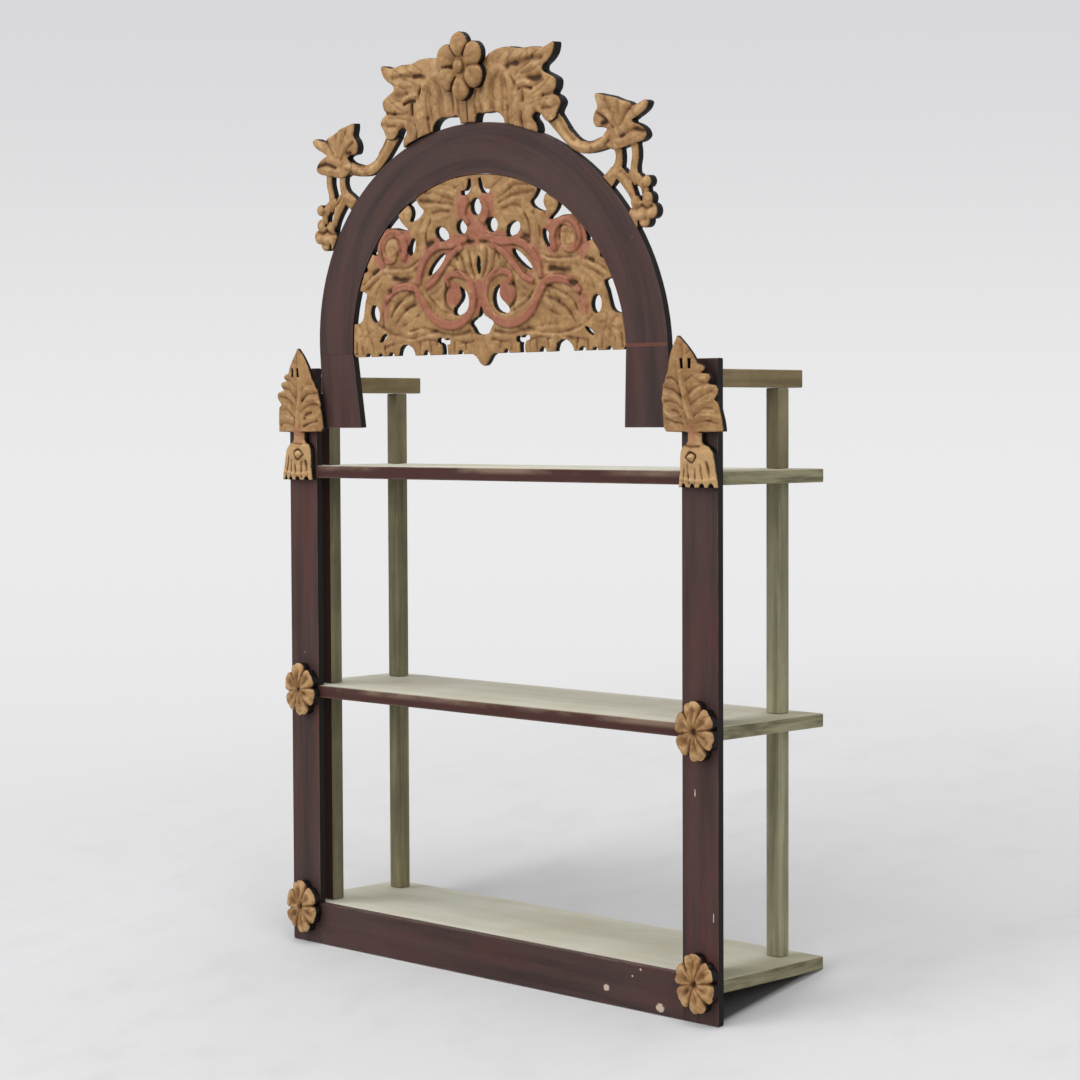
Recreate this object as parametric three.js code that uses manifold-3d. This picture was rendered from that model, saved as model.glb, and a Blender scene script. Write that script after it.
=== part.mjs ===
// Wall shelf: three open shelves on twelve square posts, a painted face frame,
// a leaning arch with a pierced carved panel, a carved crest, pendants and rosettes.
// Units are millimetres, +Z is up, +Y points to the wall, the wall plane is Y = 0.
// Heights in this file are counted from the foot of the stiles.
import * as THREE from "three";
import { mergeVertices } from "three/addons/utils/BufferGeometryUtils.js";
import Module from "manifold-3d";

const wasm = await Module();
wasm.setup();

// Fits
const JOINT_GAP = 0.3; // clearance kept wherever two pieces meet
const EASED_EDGE = 0.7; // small chamfer planed on every board edge

// Case
const CASE_WIDTH = 600;
const CASE_DEPTH = 151; // face of the frame to the wall
const SHELF_THICK = 12.8;
const BOTTOM_SHELF_TOP = 43;
const SHELF_PITCH = 231.5; // one shelf top to the next
const POST_SIDE = 14.8;
const POST_FROM_END = 32.8; // post centre to the end of the shelf
const POST_FROM_EDGE = 27.8; // post centre to the front or rear edge
const RAIL_OVER_SHELF = 93; // top of a side rail above the top shelf
const RAIL_HEIGHT = 16.7;

// Face frame
const STILE_WIDTH = 43.5;
const STILE_OVER_RAIL = 9;
const FACE_THICK = 7; // stiles, apron and arch are cut from the same board

// Arch, measured in its own leaning plane
const ARCH_LEAN_DEGREES = 3.8;
const LEG_BELOW_STILE_TOP = 62.5;
const LEG_HEIGHT = 76.4; // foot of a leg to the joint where the curve starts
const LEG_FREE = 12.7; // open strip between a leg and the stile beside it
const LEG_FLARE = 6.5; // each leg widens inwards by this much at its foot
const BAND_AT_SPRING = 51.8;
const BAND_AT_CROWN = 49.1;
const ARCH_RISE = 219.8;
const ARCH_STEPS = 60;

// Pierced panel in the arch
const PANEL_THICK = 6;
const PANEL_BELOW_SPRING = 3.9;
const PANEL_CORNER_IN = 3.5; // lower corners stand in from the legs
const RIBBON_PROUD = 2.5;

// Crest and its flower
const CREST_BOARD = 7;
const CREST_LEAF_PROUD = 4;
const CREST_SPRAY_PROUD = 2;
const FLOWER_ABOVE_CROWN = 54.3;
const FLOWER_HEIGHT = 12;
const FLOWER_HALF_WIDE = 31;
const FLOWER_HALF_HIGH = 33;
const PETAL_RADIUS = 12.4; // of the flower's plump petals
const BUTTON_RADIUS = 7.5; // in the middle of the flower
const PETALS = 6;

// Rosettes and pendants on the stiles
const ROSETTE_RADIUS = 27;
const ROSETTE_HEIGHT = 11.5;
const ROSETTE_BELOW_SHELF_TOP = 5.3;
const BELL_HEIGHT = 50; // bell and neck, up to the foot of the leaf
const LEAF_HEIGHT = 87.5;
const LEAF_OVER_STILE_TOP = 20.5;
const LEAF_LAP = 4.3; // the leaf laps this far over the leg of the arch
const LEAF_OUTER_REACH = 33; // from the middle of the stile outwards
const LEAF_LEAN = 0.16; // forward travel of the leaf per millimetre of height
const LEAF_TAPER = 0.55; // share of its thickness that the leaf loses towards its tip
const PENDANT_EDGE = 6;
const PENDANT_CROWN = 4;
const SLOT_WIDTH = 3;
const SLOT_HEIGHT = 9;
const SLOT_SPACING = 9;

// Places that follow from the sizes above
const HALF_WIDTH = CASE_WIDTH / 2;
const FACE_Y = -CASE_DEPTH;
const FACE_BACK = FACE_Y + FACE_THICK;
const STILE_X = HALF_WIDTH - STILE_WIDTH / 2;
const POST_X = HALF_WIDTH - POST_FROM_END;
const SHELF_TOPS = [0, 1, 2].map((level) => BOTTOM_SHELF_TOP + level * SHELF_PITCH);
const RAIL_TOP = SHELF_TOPS[2] + RAIL_OVER_SHELF;
const STILE_TOP = RAIL_TOP + STILE_OVER_RAIL;
const ARCH_FOOT = STILE_TOP - LEG_BELOW_STILE_TOP;
const ARCH_LEAN = THREE.MathUtils.degToRad(ARCH_LEAN_DEGREES);
const ARCH_HALF_OUT = HALF_WIDTH - STILE_WIDTH - LEG_FREE;
const ARCH_HALF_IN = ARCH_HALF_OUT - BAND_AT_SPRING;
const ARCH_RISE_IN = ARCH_RISE - BAND_AT_CROWN;
const PENDANT_BOTTOM = STILE_TOP + LEAF_OVER_STILE_TOP - LEAF_HEIGHT - BELL_HEIGHT;
const PENDANT_BEND = ARCH_FOOT - PENDANT_BOTTOM; // the leaf leans forward from the foot of the leg up
const SIDES = [["left", -1], ["right", 1]];

// The carving patterns are drawn for these arches and are stretched to fit the real one.
const CREST_PATTERN = { half: 243.8, rise: 219.8, spring: 76.4 };
const PANEL_PATTERN = { half: 192, rise: 170.7, spring: 76.4 };

const COLOURS = { dark: 0x4e3733, green: 0x85846a, pale: 0xa9ad98, gilt: 0xa37d4e };
const finish = (color, roughness) => new THREE.MeshStandardMaterial({ color, roughness, metalness: 0 });

// Outlines: closed lists of x and height

function smoothLoop(points, steps = 22) {
  const curve = new THREE.CatmullRomCurve3(
    points.map(([x, y]) => new THREE.Vector3(x, y, 0)), true, "centripetal");
  return curve.getPoints(steps).slice(0, -1).map((p) => [p.x, p.y]);
}

function ovalLoop([x, y], [long, short], tiltDegrees = 0, steps = 14) {
  const tilt = THREE.MathUtils.degToRad(tiltDegrees);
  const loop = [];
  for (let i = 0; i < steps; i += 1) {
    const angle = (2 * Math.PI * i) / steps;
    const u = long * Math.cos(angle);
    const v = short * Math.sin(angle);
    loop.push([x + u * Math.cos(tilt) - v * Math.sin(tilt), y + u * Math.sin(tilt) + v * Math.cos(tilt)]);
  }
  return loop;
}

// A band along a smooth line, each station being x, height and half width.
function ribbonLoop(stations, steps) {
  const curve = new THREE.CatmullRomCurve3(
    stations.map(([x, y, half]) => new THREE.Vector3(x, y, half)), false, "centripetal");
  const left = [];
  const right = [];
  for (let i = 0; i <= steps; i += 1) {
    const at = curve.getPoint(i / steps);
    const ahead = curve.getTangent(i / steps);
    const scale = at.z / Math.hypot(ahead.x, ahead.y);
    left.push([at.x - ahead.y * scale, at.y + ahead.x * scale]);
    right.push([at.x + ahead.y * scale, at.y - ahead.x * scale]);
  }
  return left.concat(right.reverse());
}

// Half ellipse over the spring line, carried down to a foot where one is given.
function archLoop(half, rise, foot = []) {
  const loop = [];
  for (let i = 0; i <= ARCH_STEPS; i += 1) {
    const angle = (Math.PI * i) / ARCH_STEPS;
    loop.push([half * Math.cos(angle), LEG_HEIGHT + rise * Math.sin(angle)]);
  }
  return loop.concat(foot);
}

const mirrored = (loop) => loop.map(([x, y]) => [-x, y]);
const onSide = (loop, side) => (side > 0 ? loop : mirrored(loop));

// Moves a pattern from the arch it was drawn for to an arch of another size.
function fitted(loop, pattern, half, rise) {
  return loop.map(([x, y]) => [
    (x * half) / pattern.half,
    LEG_HEIGHT + ((y - pattern.spring) * rise) / pattern.rise,
  ]);
}

// Solids

// Upright plate between two Y values from an outline of x and height.
function plate(loop, front, back) {
  const shape = new THREE.Shape(loop.map(([x, y]) => new THREE.Vector2(x, y)));
  const geometry = new THREE.ExtrudeGeometry(shape, { depth: back - front, bevelEnabled: false });
  geometry.rotateX(Math.PI / 2);
  geometry.translate(0, back, 0);
  return geometry;
}

// Level board of any outline with eased edges; the outline is its full plan.
function easedBoard(plan, low, high) {
  const shape = new THREE.Shape(plan.map(([x, y]) => new THREE.Vector2(x, y)));
  const geometry = new THREE.ExtrudeGeometry(shape, {
    depth: high - low - 2 * EASED_EDGE,
    bevelThickness: EASED_EDGE,
    bevelSize: EASED_EDGE,
    bevelOffset: -EASED_EDGE,
    bevelSegments: 1,
  });
  geometry.translate(0, 0, low + EASED_EDGE);
  return geometry;
}

function board([x0, y0, z0], [x1, y1, z1]) {
  return easedBoard([[x0, y0], [x1, y0], [x1, y1], [x0, y1]], z0, z1);
}

function toSolid(geometry) {
  const bare = geometry.clone();
  bare.deleteAttribute("normal");
  bare.deleteAttribute("uv");
  const merged = mergeVertices(bare, 1e-4);
  return new wasm.Manifold(new wasm.Mesh({
    numProp: 3,
    vertProperties: Float32Array.from(merged.attributes.position.array),
    triVerts: Uint32Array.from(merged.index.array),
  }));
}

function fromSolid(solid) {
  const mesh = solid.getMesh();
  const geometry = new THREE.BufferGeometry();
  geometry.setAttribute("position", new THREE.BufferAttribute(new Float32Array(mesh.vertProperties), 3));
  geometry.setIndex(new THREE.BufferAttribute(new Uint32Array(mesh.triVerts), 1));
  return geometry.toNonIndexed();
}

function fromPoints(points, faces) {
  const geometry = new THREE.BufferGeometry();
  geometry.setAttribute("position", new THREE.Float32BufferAttribute(points.flat(), 3));
  geometry.setIndex(faces);
  return geometry.toNonIndexed();
}

const slab = (loop, front, back) => toSolid(plate(loop, front, back));
const joined = (solids) => solids.reduce((sum, solid) => sum.add(solid));
const cutBy = (solid, cutters) => cutters.reduce((rest, cutter) => rest.subtract(cutter), solid);

// Carved relief from rows of front points, lowest row first, on a flat back at Y = 0.
function relief(rows) {
  const across = rows[0].length;
  const points = rows.flat();
  rows.forEach((row) => [row[0], row[across - 1]].forEach(([x, , z]) => points.push([x, 0, z])));
  const front = (r, c) => r * across + c;
  const back = (r, end) => rows.length * across + 2 * r + end;
  const faces = [];
  const quad = (a, b, c, d) => faces.push(a, b, c, a, c, d);
  const last = rows.length - 1;
  const edge = across - 1;
  for (let r = 0; r < last; r += 1) {
    for (let c = 0; c < edge; c += 1) {
      quad(front(r, c), front(r, c + 1), front(r + 1, c + 1), front(r + 1, c));
    }
    quad(back(r, 0), back(r + 1, 0), back(r + 1, 1), back(r, 1));
    quad(front(r, 0), front(r + 1, 0), back(r + 1, 0), back(r, 0));
    quad(front(r, edge), back(r, 1), back(r + 1, 1), front(r + 1, edge));
  }
  faces.push(back(0, 0), back(0, 1), front(0, edge));
  faces.push(back(last, 1), back(last, 0), front(last, 0));
  for (let c = 0; c < edge; c += 1) {
    faces.push(back(0, 0), front(0, c + 1), front(0, c));
    faces.push(back(last, 1), front(last, c), front(last, c + 1));
  }
  return fromPoints(points, faces);
}

// Petalled boss: a domed rosette with a pit in the middle, on a flat back.
function boss(half, height, steps = 48) {
  const rings = [[0.08, 0.62], [0.3, 0.95], [0.62, 1], [0.88, 0.74], [1, 0.34]];
  const pit = 0.5;
  const notch = 0.15; // depth of the notch between two petals, as a share of the radius
  const groove = 0.3; // depth of the groove between two petals, as a share of the height
  const base = 0.94;
  const at = (radius, level, i) => {
    const angle = (2 * Math.PI * i) / steps;
    const valley = 1 - Math.abs(Math.cos((PETALS * angle) / 2));
    const reach = radius * (1 - notch * valley * radius);
    const depth = height * level * (1 - groove * radius * valley);
    return [half * reach * Math.sin(angle), -depth, half * reach * Math.cos(angle)];
  };
  const circle = (radius, level) => Array.from({ length: steps }, (_, i) => at(radius, level, i));
  const loops = [...rings, [base, 0]].map(([radius, level]) => circle(radius, level));
  const points = [[0, -height * pit, 0], ...loops.flat(), [0, 0, 0]];
  const index = (ring, i) => 1 + ring * steps + (i % steps);
  const faces = [];
  for (let i = 0; i < steps; i += 1) {
    faces.push(0, index(0, i + 1), index(0, i));
    for (let ring = 0; ring < rings.length; ring += 1) {
      faces.push(index(ring, i), index(ring, i + 1), index(ring + 1, i + 1));
      faces.push(index(ring, i), index(ring + 1, i + 1), index(ring + 1, i));
    }
    faces.push(points.length - 1, index(rings.length, i), index(rings.length, i + 1));
  }
  return fromPoints(points, faces);
}

// Domed oval on a flat back, its middle at x, z.
function dome([x, z], [halfWide, halfHigh], height, steps = 18) {
  const rings = [[0.55, 0.96], [0.85, 0.84], [1, 0.56], [1, 0]];
  const points = [[x, -height, z]];
  rings.forEach(([reach, level]) => {
    for (let i = 0; i < steps; i += 1) {
      const angle = (2 * Math.PI * i) / steps;
      const [wide, high] = [halfWide * reach * Math.sin(angle), halfHigh * reach * Math.cos(angle)];
      points.push([x + wide, -height * level, z + high]);
    }
  });
  points.push([x, 0, z]);
  const index = (ring, i) => 1 + ring * steps + (i % steps);
  const last = rings.length - 1;
  const faces = [];
  for (let i = 0; i < steps; i += 1) {
    faces.push(0, index(0, i + 1), index(0, i));
    for (let ring = 0; ring < last; ring += 1) {
      faces.push(index(ring, i), index(ring, i + 1), index(ring + 1, i + 1));
      faces.push(index(ring, i), index(ring + 1, i + 1), index(ring + 1, i));
    }
    faces.push(points.length - 1, index(last, i), index(last, i + 1));
  }
  return toSolid(fromPoints(points, faces));
}

// Takes a piece drawn upright in the plane of the arch to its leaning place.
function leaned(geometry) {
  geometry.rotateX(ARCH_LEAN);
  geometry.translate(0, FACE_Y, ARCH_FOOT);
  return geometry;
}

// Case pieces

// Shelf notched at its front corners so that the stiles stand flush with its edge.
function notchedShelf(top) {
  const neck = HALF_WIDTH - STILE_WIDTH - JOINT_GAP;
  const shoulder = FACE_BACK + JOINT_GAP;
  const right = [[neck, FACE_Y], [neck, shoulder], [HALF_WIDTH, shoulder], [HALF_WIDTH, 0]];
  return easedBoard([...right, ...mirrored(right).reverse()], top - SHELF_THICK, top);
}

function bottomShelf() {
  const low = BOTTOM_SHELF_TOP - SHELF_THICK;
  return board([-HALF_WIDTH, FACE_BACK + JOINT_GAP, low], [HALF_WIDTH, 0, BOTTOM_SHELF_TOP]);
}

function post(side, y, low, high) {
  const x = side * POST_X;
  const half = POST_SIDE / 2;
  return board([x - half, y - half, low + JOINT_GAP], [x + half, y + half, high - JOINT_GAP]);
}

function rail(side) {
  const x = side * POST_X;
  const half = POST_SIDE / 2;
  return board([x - half, FACE_BACK + JOINT_GAP, RAIL_TOP - RAIL_HEIGHT], [x + half, 0, RAIL_TOP]);
}

function stile(side) {
  const x = side * STILE_X;
  const half = STILE_WIDTH / 2;
  return board([x - half, FACE_Y, 0], [x + half, FACE_BACK, STILE_TOP]);
}

function apron() {
  const half = HALF_WIDTH - STILE_WIDTH - JOINT_GAP;
  return board([-half, FACE_Y, 0], [half, FACE_BACK, BOTTOM_SHELF_TOP]);
}

// Arch pieces

function archRing() {
  const outer = archLoop(ARCH_HALF_OUT, ARCH_RISE);
  const inner = archLoop(ARCH_HALF_IN, ARCH_RISE_IN);
  return leaned(plate(outer.concat(inner.reverse()), 0, FACE_THICK));
}

function archLeg(side) {
  const top = LEG_HEIGHT - JOINT_GAP;
  const foot = ARCH_HALF_IN - LEG_FLARE;
  const loop = [[foot, 0], [ARCH_HALF_OUT, 0], [ARCH_HALF_OUT, top], [ARCH_HALF_IN, top]];
  return leaned(plate(onSide(loop, side), 0, FACE_THICK));
}

// Openings through the right half of the panel; the left half mirrors them.
function panelSideCuts() {
  return [
    ribbonLoop([[7, 243, 1.8], [8.5, 235, 2.6], [13, 230, 2.4], [20, 230, 1.8]], 8),
    ovalLoop([21.5, 197], [7.5, 7.3]),
    ovalLoop([50, 191.5], [10.4, 6.6], 25),
    ovalLoop([60, 162], [16.5, 4.2], -38),
    smoothLoop([[28, 139], [19, 133], [17, 124], [20, 116], [28, 111.5], [38, 111.5],
      [39.5, 115], [34, 121], [29, 125], [26.5, 130]]),
    ovalLoop([94.5, 181], [9, 4.4], -68),
    smoothLoop([[75, 215.5], [82, 209], [96, 206], [92.5, 213], [94, 220], [101, 227],
      [98, 238], [88, 238], [85, 226.5], [80, 220]]),
    smoothLoop([[99, 198], [108, 198.5], [118, 201], [130, 201.5], [138, 206], [124, 220],
      [115, 221], [111.5, 210], [107, 204.5]]),
    smoothLoop([[139, 200], [144, 190], [147, 181], [147.5, 175], [155, 177], [162, 182], [150, 200]], 16),
    ovalLoop([167, 161.5], [4, 3], 0, 10),
    smoothLoop([[167, 137], [170, 128], [172, 120], [175, 111], [180, 107.5], [190, 107],
      [202, 112], [200, 132], [188, 145], [176, 139.5]]),
    ovalLoop([155.5, 116], [9, 6.6], 80),
    ovalLoop([145, 91], [7, 2.2], -35, 10),
    ribbonLoop([[65, 87, 1.8], [57, 85.5, 3.4], [54.5, 79, 3.4], [55, 68, 3.6]], 10),
    ovalLoop([50, 85.5], [3.6, 3.2], 0, 10),
    ovalLoop([32, 73], [3.6, 3.6], 0, 12),
    ovalLoop([82, 72.5], [4.6, 5], 0, 12),
    ovalLoop([111, 71.5], [12.3, 12.3], 0, 20),
    ovalLoop([134.5, 72], [4.6, 4.6], 0, 12),
    ovalLoop([151, 72], [3.6, 3.8], 0, 12),
    ovalLoop([169.5, 72], [4, 4], 0, 12),
  ];
}

// Openings on the middle line of the panel.
function panelMiddleCuts() {
  const half = [[4, 110], [10, 107], [16.5, 102.5], [13, 98], [9, 92.5]];
  const foil = [[0, 119], ...half, [0, 91], ...mirrored(half).reverse()];
  return [ovalLoop([0, 215.5], [7.5, 8.5]), ovalLoop([0, 159], [3, 9], 0, 10), smoothLoop(foil, 32)];
}

// Raised scrolls on the right half of the panel.
function panelRibbons() {
  return [
    ribbonLoop([[44, 139, 3], [45, 148, 3.2], [30, 152, 3.6], [14, 145, 4], [8, 130, 4.2],
      [13, 114, 4.4], [29, 103, 4.6], [50, 102, 4.6], [69, 111, 4.4], [82, 127, 4.2], [92, 139, 4],
      [108, 142, 3.8], [124, 138, 3.6], [137, 128, 3.2]], 34),
    ribbonLoop([[12, 186, 3], [34, 181, 4.2], [56, 180, 4.2], [73, 171, 4.2], [83, 156, 3.8],
      [86, 143, 3]], 14),
    ribbonLoop([[20, 178, 2.6], [38, 169, 3.4], [53, 155, 3.4], [64, 145, 3], [76, 140, 2.4]], 10),
    ribbonLoop([[107, 168, 2.8], [103, 180, 4], [109, 192, 4.2], [121, 196, 4.2], [134, 190, 4.2],
      [138, 178, 4], [131, 169, 3.6], [120, 170, 3], [117, 179, 2.6]], 22),
    ribbonLoop([[9, 222, 2.6], [15, 215, 3.4], [16, 207, 3.2], [10, 199, 2.6]], 8),
  ];
}

function piercedPanel() {
  const front = FACE_THICK - PANEL_THICK;
  const fit = (loop) => fitted(loop, PANEL_PATTERN, ARCH_HALF_IN, ARCH_RISE_IN);
  const cut = (loop) => slab(fit(loop), front - RIBBON_PROUD - 1, FACE_THICK + 1);
  const corner = [ARCH_HALF_IN - PANEL_CORNER_IN, LEG_HEIGHT - PANEL_BELOW_SPRING];
  const foot = [[-corner[0], corner[1]], corner];
  const field = archLoop(ARCH_HALF_IN - JOINT_GAP, ARCH_RISE_IN - JOINT_GAP, foot);
  const drop = smoothLoop([[0, 60.5], [5, 63], [11, 70], [20, 76], [0, 90], [-20, 76], [-11, 70],
    [-5, 63]], 24);
  const cutters = panelMiddleCuts().map(cut);
  const raised = [];
  SIDES.forEach(([, side]) => {
    panelSideCuts().forEach((loop) => cutters.push(cut(onSide(loop, side))));
    panelRibbons().forEach((loop) => {
      raised.push(slab(fit(onSide(loop, side)), front - RIBBON_PROUD, front + 1));
    });
  });
  const body = joined([slab(field, front, FACE_THICK), slab(fit(drop), front, FACE_THICK), ...raised]);
  return leaned(fromSolid(cutBy(body, cutters)));
}

// Crest pieces, drawn for the right half

function crestLeafLoop() {
  return smoothLoop([[-8, 288], [-8, 345], [20, 352], [38, 361.5], [60, 363.5], [78, 360], [92, 360.5],
    [106, 358.5], [121, 362], [119.5, 353], [113, 346], [105, 341], [104.5, 337], [112, 333],
    [121.5, 327], [120.5, 319], [117, 314.5], [123, 311], [126.5, 305], [122, 298], [118, 290],
    [106, 289], [99, 297], [92, 298.5], [88, 294.5], [93, 288], [94, 280], [85, 274], [72, 280],
    [52, 286], [49.5, 296], [44, 301.5], [36, 304], [24, 303.5], [14, 304], [10.5, 298], [10, 286]], 105);
}

function crestSprayLoop() {
  return smoothLoop([[168, 279], [165, 285], [167, 292], [171, 297], [169, 304], [169, 309.5], [180, 307.5],
    [191, 305], [201, 301], [211, 298], [216, 294.5], [222, 296], [230, 298.5], [235, 296], [232, 290.5],
    [225, 286], [214, 280.5], [222, 277], [229, 272], [231, 266], [226, 262], [219, 260.5], [205, 258],
    [192, 256], [184, 258], [176, 264], [177, 271], [182, 275.5], [176, 278]], 75);
}

function crestStems() {
  return [
    ribbonLoop([[110, 296, 9], [121, 283, 7.5], [131, 272, 6.5], [143, 263.5, 6], [156, 261, 5.6],
      [170, 262.5, 6], [186, 267, 7], [198, 270, 7]], 20),
    ribbonLoop([[192, 262, 5], [194, 250, 4.5], [191, 240, 5.5], [183, 232, 7], [170, 222, 7]], 12),
    ribbonLoop([[213, 264, 4.5], [214.5, 250, 4.4], [212, 240, 4.4], [212, 231, 5], [216, 224, 5]], 10),
    ribbonLoop([[188, 240, 6], [200, 228, 6.5], [208, 214, 4], [213, 203, 4]], 10),
    ribbonLoop([[204, 231, 5], [214, 229, 5.5], [223, 221, 4.6], [225, 211, 4.6]], 10),
  ];
}

// Berries and buds hanging under the spray: centre and radius.
function crestBerries() {
  return [[[228.5, 225], 5.6], [[222, 199], 9], [[232.5, 198], 7.5], [[228.5, 209.5], 6.5],
    [[223.5, 190], 7], [[212, 196], 7.5], [[214, 206.5], 6.5], [[208, 187], 7]]
    .map(([centre, radius]) => ovalLoop(centre, [radius, radius], 0, 16));
}

function crestHalf(side) {
  const fit = (loop) => fitted(loop, CREST_PATTERN, ARCH_HALF_OUT, ARCH_RISE);
  const raise = (loops, proud) => loops.map((loop) => slab(fit(loop), -proud, CREST_BOARD));
  const body = joined([
    ...raise([crestLeafLoop()], CREST_LEAF_PROUD),
    ...raise([crestSprayLoop(), ...crestBerries()], CREST_SPRAY_PROUD),
    ...raise(crestStems(), 0),
  ]);
  const feet = [[-ARCH_HALF_OUT, 0], [ARCH_HALF_OUT, 0]];
  const seat = archLoop(ARCH_HALF_OUT + JOINT_GAP, ARCH_RISE + JOINT_GAP, feet);
  const middle = JOINT_GAP / 2;
  const top = LEG_HEIGHT + 2 * ARCH_RISE;
  const otherHalf = [[-ARCH_HALF_OUT, 0], [middle, 0], [middle, top], [-ARCH_HALF_OUT, top]];
  const clear = CREST_BOARD + CREST_LEAF_PROUD;
  const solid = cutBy(body, [seat, otherHalf].map((loop) => slab(loop, -clear, clear)));
  return leaned(fromSolid(side > 0 ? solid : solid.mirror([1, 0, 0])));
}

// Plump petals round a button, which stands a little higher than they do.
function crestFlower() {
  const turn = (2 * Math.PI) / PETALS;
  const petals = Array.from({ length: PETALS }, (_, i) => [
    ((FLOWER_HALF_WIDE - PETAL_RADIUS) / Math.cos(turn / 2)) * Math.sin(i * turn),
    (FLOWER_HALF_HIGH - PETAL_RADIUS) * Math.cos(i * turn)]);
  const button = dome([0, 0], [BUTTON_RADIUS, BUTTON_RADIUS], FLOWER_HEIGHT);
  const around = petals.map((middle) => dome(middle, [PETAL_RADIUS, PETAL_RADIUS], 0.86 * FLOWER_HEIGHT));
  const heart = dome([0, 0], [FLOWER_HALF_WIDE / 2, FLOWER_HALF_HIGH / 2], FLOWER_HEIGHT / 2);
  const geometry = fromSolid(joined([heart, button, ...around]));
  geometry.translate(0, -CREST_LEAF_PROUD - JOINT_GAP, LEG_HEIGHT + ARCH_RISE + FLOWER_ABOVE_CROWN);
  return leaned(geometry);
}

// Ornaments on the stiles

function rosette(side, shelfTop) {
  const geometry = boss(ROSETTE_RADIUS, ROSETTE_HEIGHT);
  geometry.translate(side * STILE_X, FACE_Y - JOINT_GAP, shelfTop - ROSETTE_BELOW_SHELF_TOP);
  return geometry;
}

// Straight-line reading of an edge given as pairs of height and reach.
function edgeAt(pairs, height) {
  const next = Math.max(1, pairs.findIndex(([level]) => level >= height));
  const [z0, a] = pairs[next - 1];
  const [z1, b] = pairs[next];
  return a + ((b - a) * (height - z0)) / (z1 - z0);
}

// Edges as shares: height over the whole bell or leaf, reach over its widest reach.
const BELL_INNER = [[0, 0.96], [0.14, 0.92], [0.3, 0.86], [0.48, 0.87], [0.64, 0.84], [0.74, 0.74],
  [0.79, 0.52], [0.84, 0.42], [1, 0.42]];
const BELL_OUTER = [[0, 1.24], [0.14, 1.2], [0.3, 1.12], [0.48, 1.04], [0.64, 0.95], [0.74, 0.74],
  [0.79, 0.46], [0.84, 0.36], [1, 0.36]];
const LEAF_INNER = [[0, 0.93], [0.05, 1], [0.22, 1], [0.29, 0.97], [0.335, 1], [0.4, 0.96], [0.5, 0.92],
  [0.53, 0.86], [0.58, 0.82], [0.63, 0.74], [0.69, 0.7], [0.75, 0.66], [0.8, 0.62], [0.86, 0.55],
  [0.92, 0.47], [1, 0.32]];
const LEAF_OUTER = [[0, 1], [0.12, 0.98], [0.23, 0.93], [0.3, 0.89], [0.335, 0.76], [0.4, 0.9],
  [0.44, 0.93], [0.48, 0.86], [0.505, 0.57], [0.53, 0.63], [0.565, 0.69], [0.6, 0.64], [0.615, 0.37],
  [0.64, 0.48], [0.67, 0.51], [0.69, 0.43], [0.71, 0.26], [0.76, 0.19], [0.8, 0.13], [0.86, 0.01],
  [0.92, -0.13], [1, -0.34]];

// Domed cross-section between an inner edge on the left and an outer edge on the right.
function pendantRow(inner, outer, z, thin) {
  return [0, 0.12, 0.3, 0.5, 0.7, 0.88, 1].map((share) => {
    const depth = (PENDANT_EDGE + PENDANT_CROWN * Math.sin(Math.PI * share)) * (1 - thin);
    return [-inner + (inner + outer) * share, -depth, z];
  });
}

// Heights at which either edge turns, lowest first.
function turns(inner, outer) {
  return [...new Set([...inner, ...outer].map(([height]) => height))].sort((a, b) => a - b);
}

function pendantRows() {
  const bellHalf = STILE_WIDTH / 2;
  const leafInner = STILE_WIDTH / 2 + LEG_FREE + LEAF_LAP;
  const bell = turns(BELL_INNER, BELL_OUTER).map((share) => pendantRow(
    bellHalf * edgeAt(BELL_INNER, share), bellHalf * edgeAt(BELL_OUTER, share), share * BELL_HEIGHT, 0));
  const leaf = turns(LEAF_INNER, LEAF_OUTER).map((share) => pendantRow(
    leafInner * edgeAt(LEAF_INNER, share), LEAF_OUTER_REACH * edgeAt(LEAF_OUTER, share),
    BELL_HEIGHT + share * LEAF_HEIGHT + (share === 0 ? EASED_EDGE : 0), LEAF_TAPER * share));
  return [...bell, ...leaf];
}

// Two slots through the leaf and the scalloped hem of the bell.
function pendantCuts() {
  const through = 2 * (PENDANT_EDGE + PENDANT_CROWN);
  const slotLow = BELL_HEIGHT + 0.66 * LEAF_HEIGHT;
  const middle = -0.12 * (STILE_WIDTH / 2 + LEG_FREE + LEAF_LAP) - SLOT_SPACING / 2;
  const cuts = [];
  [middle, middle + SLOT_SPACING].forEach((x) => {
    const half = SLOT_WIDTH / 2;
    cuts.push([[x - half, slotLow], [x + half, slotLow], [x + half, slotLow + SLOT_HEIGHT],
      [x - half, slotLow + SLOT_HEIGHT]]);
  });
  [-0.6, -0.05, 0.46, 0.9].forEach((share) => {
    cuts.push(ovalLoop([share * (STILE_WIDTH / 2), 0], [3, 3.6], 0, 12));
  });
  return cuts.map((loop) => slab(loop, -through, through));
}

function pendant(side) {
  const carved = cutBy(toSolid(relief(pendantRows())), pendantCuts());
  const geometry = fromSolid(side > 0 ? carved : carved.mirror([1, 0, 0]));
  const position = geometry.attributes.position;
  for (let i = 0; i < position.count; i += 1) {
    const forward = LEAF_LEAN * Math.max(0, position.getZ(i) - PENDANT_BEND);
    position.setY(i, position.getY(i) - forward);
  }
  geometry.translate(side * STILE_X, FACE_Y - JOINT_GAP, PENDANT_BOTTOM);
  return geometry;
}

// Assembly

function place(group, name, geometry, material) {
  geometry.computeVertexNormals();
  const mesh = new THREE.Mesh(geometry, material);
  mesh.name = name;
  group.add(mesh);
}

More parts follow.
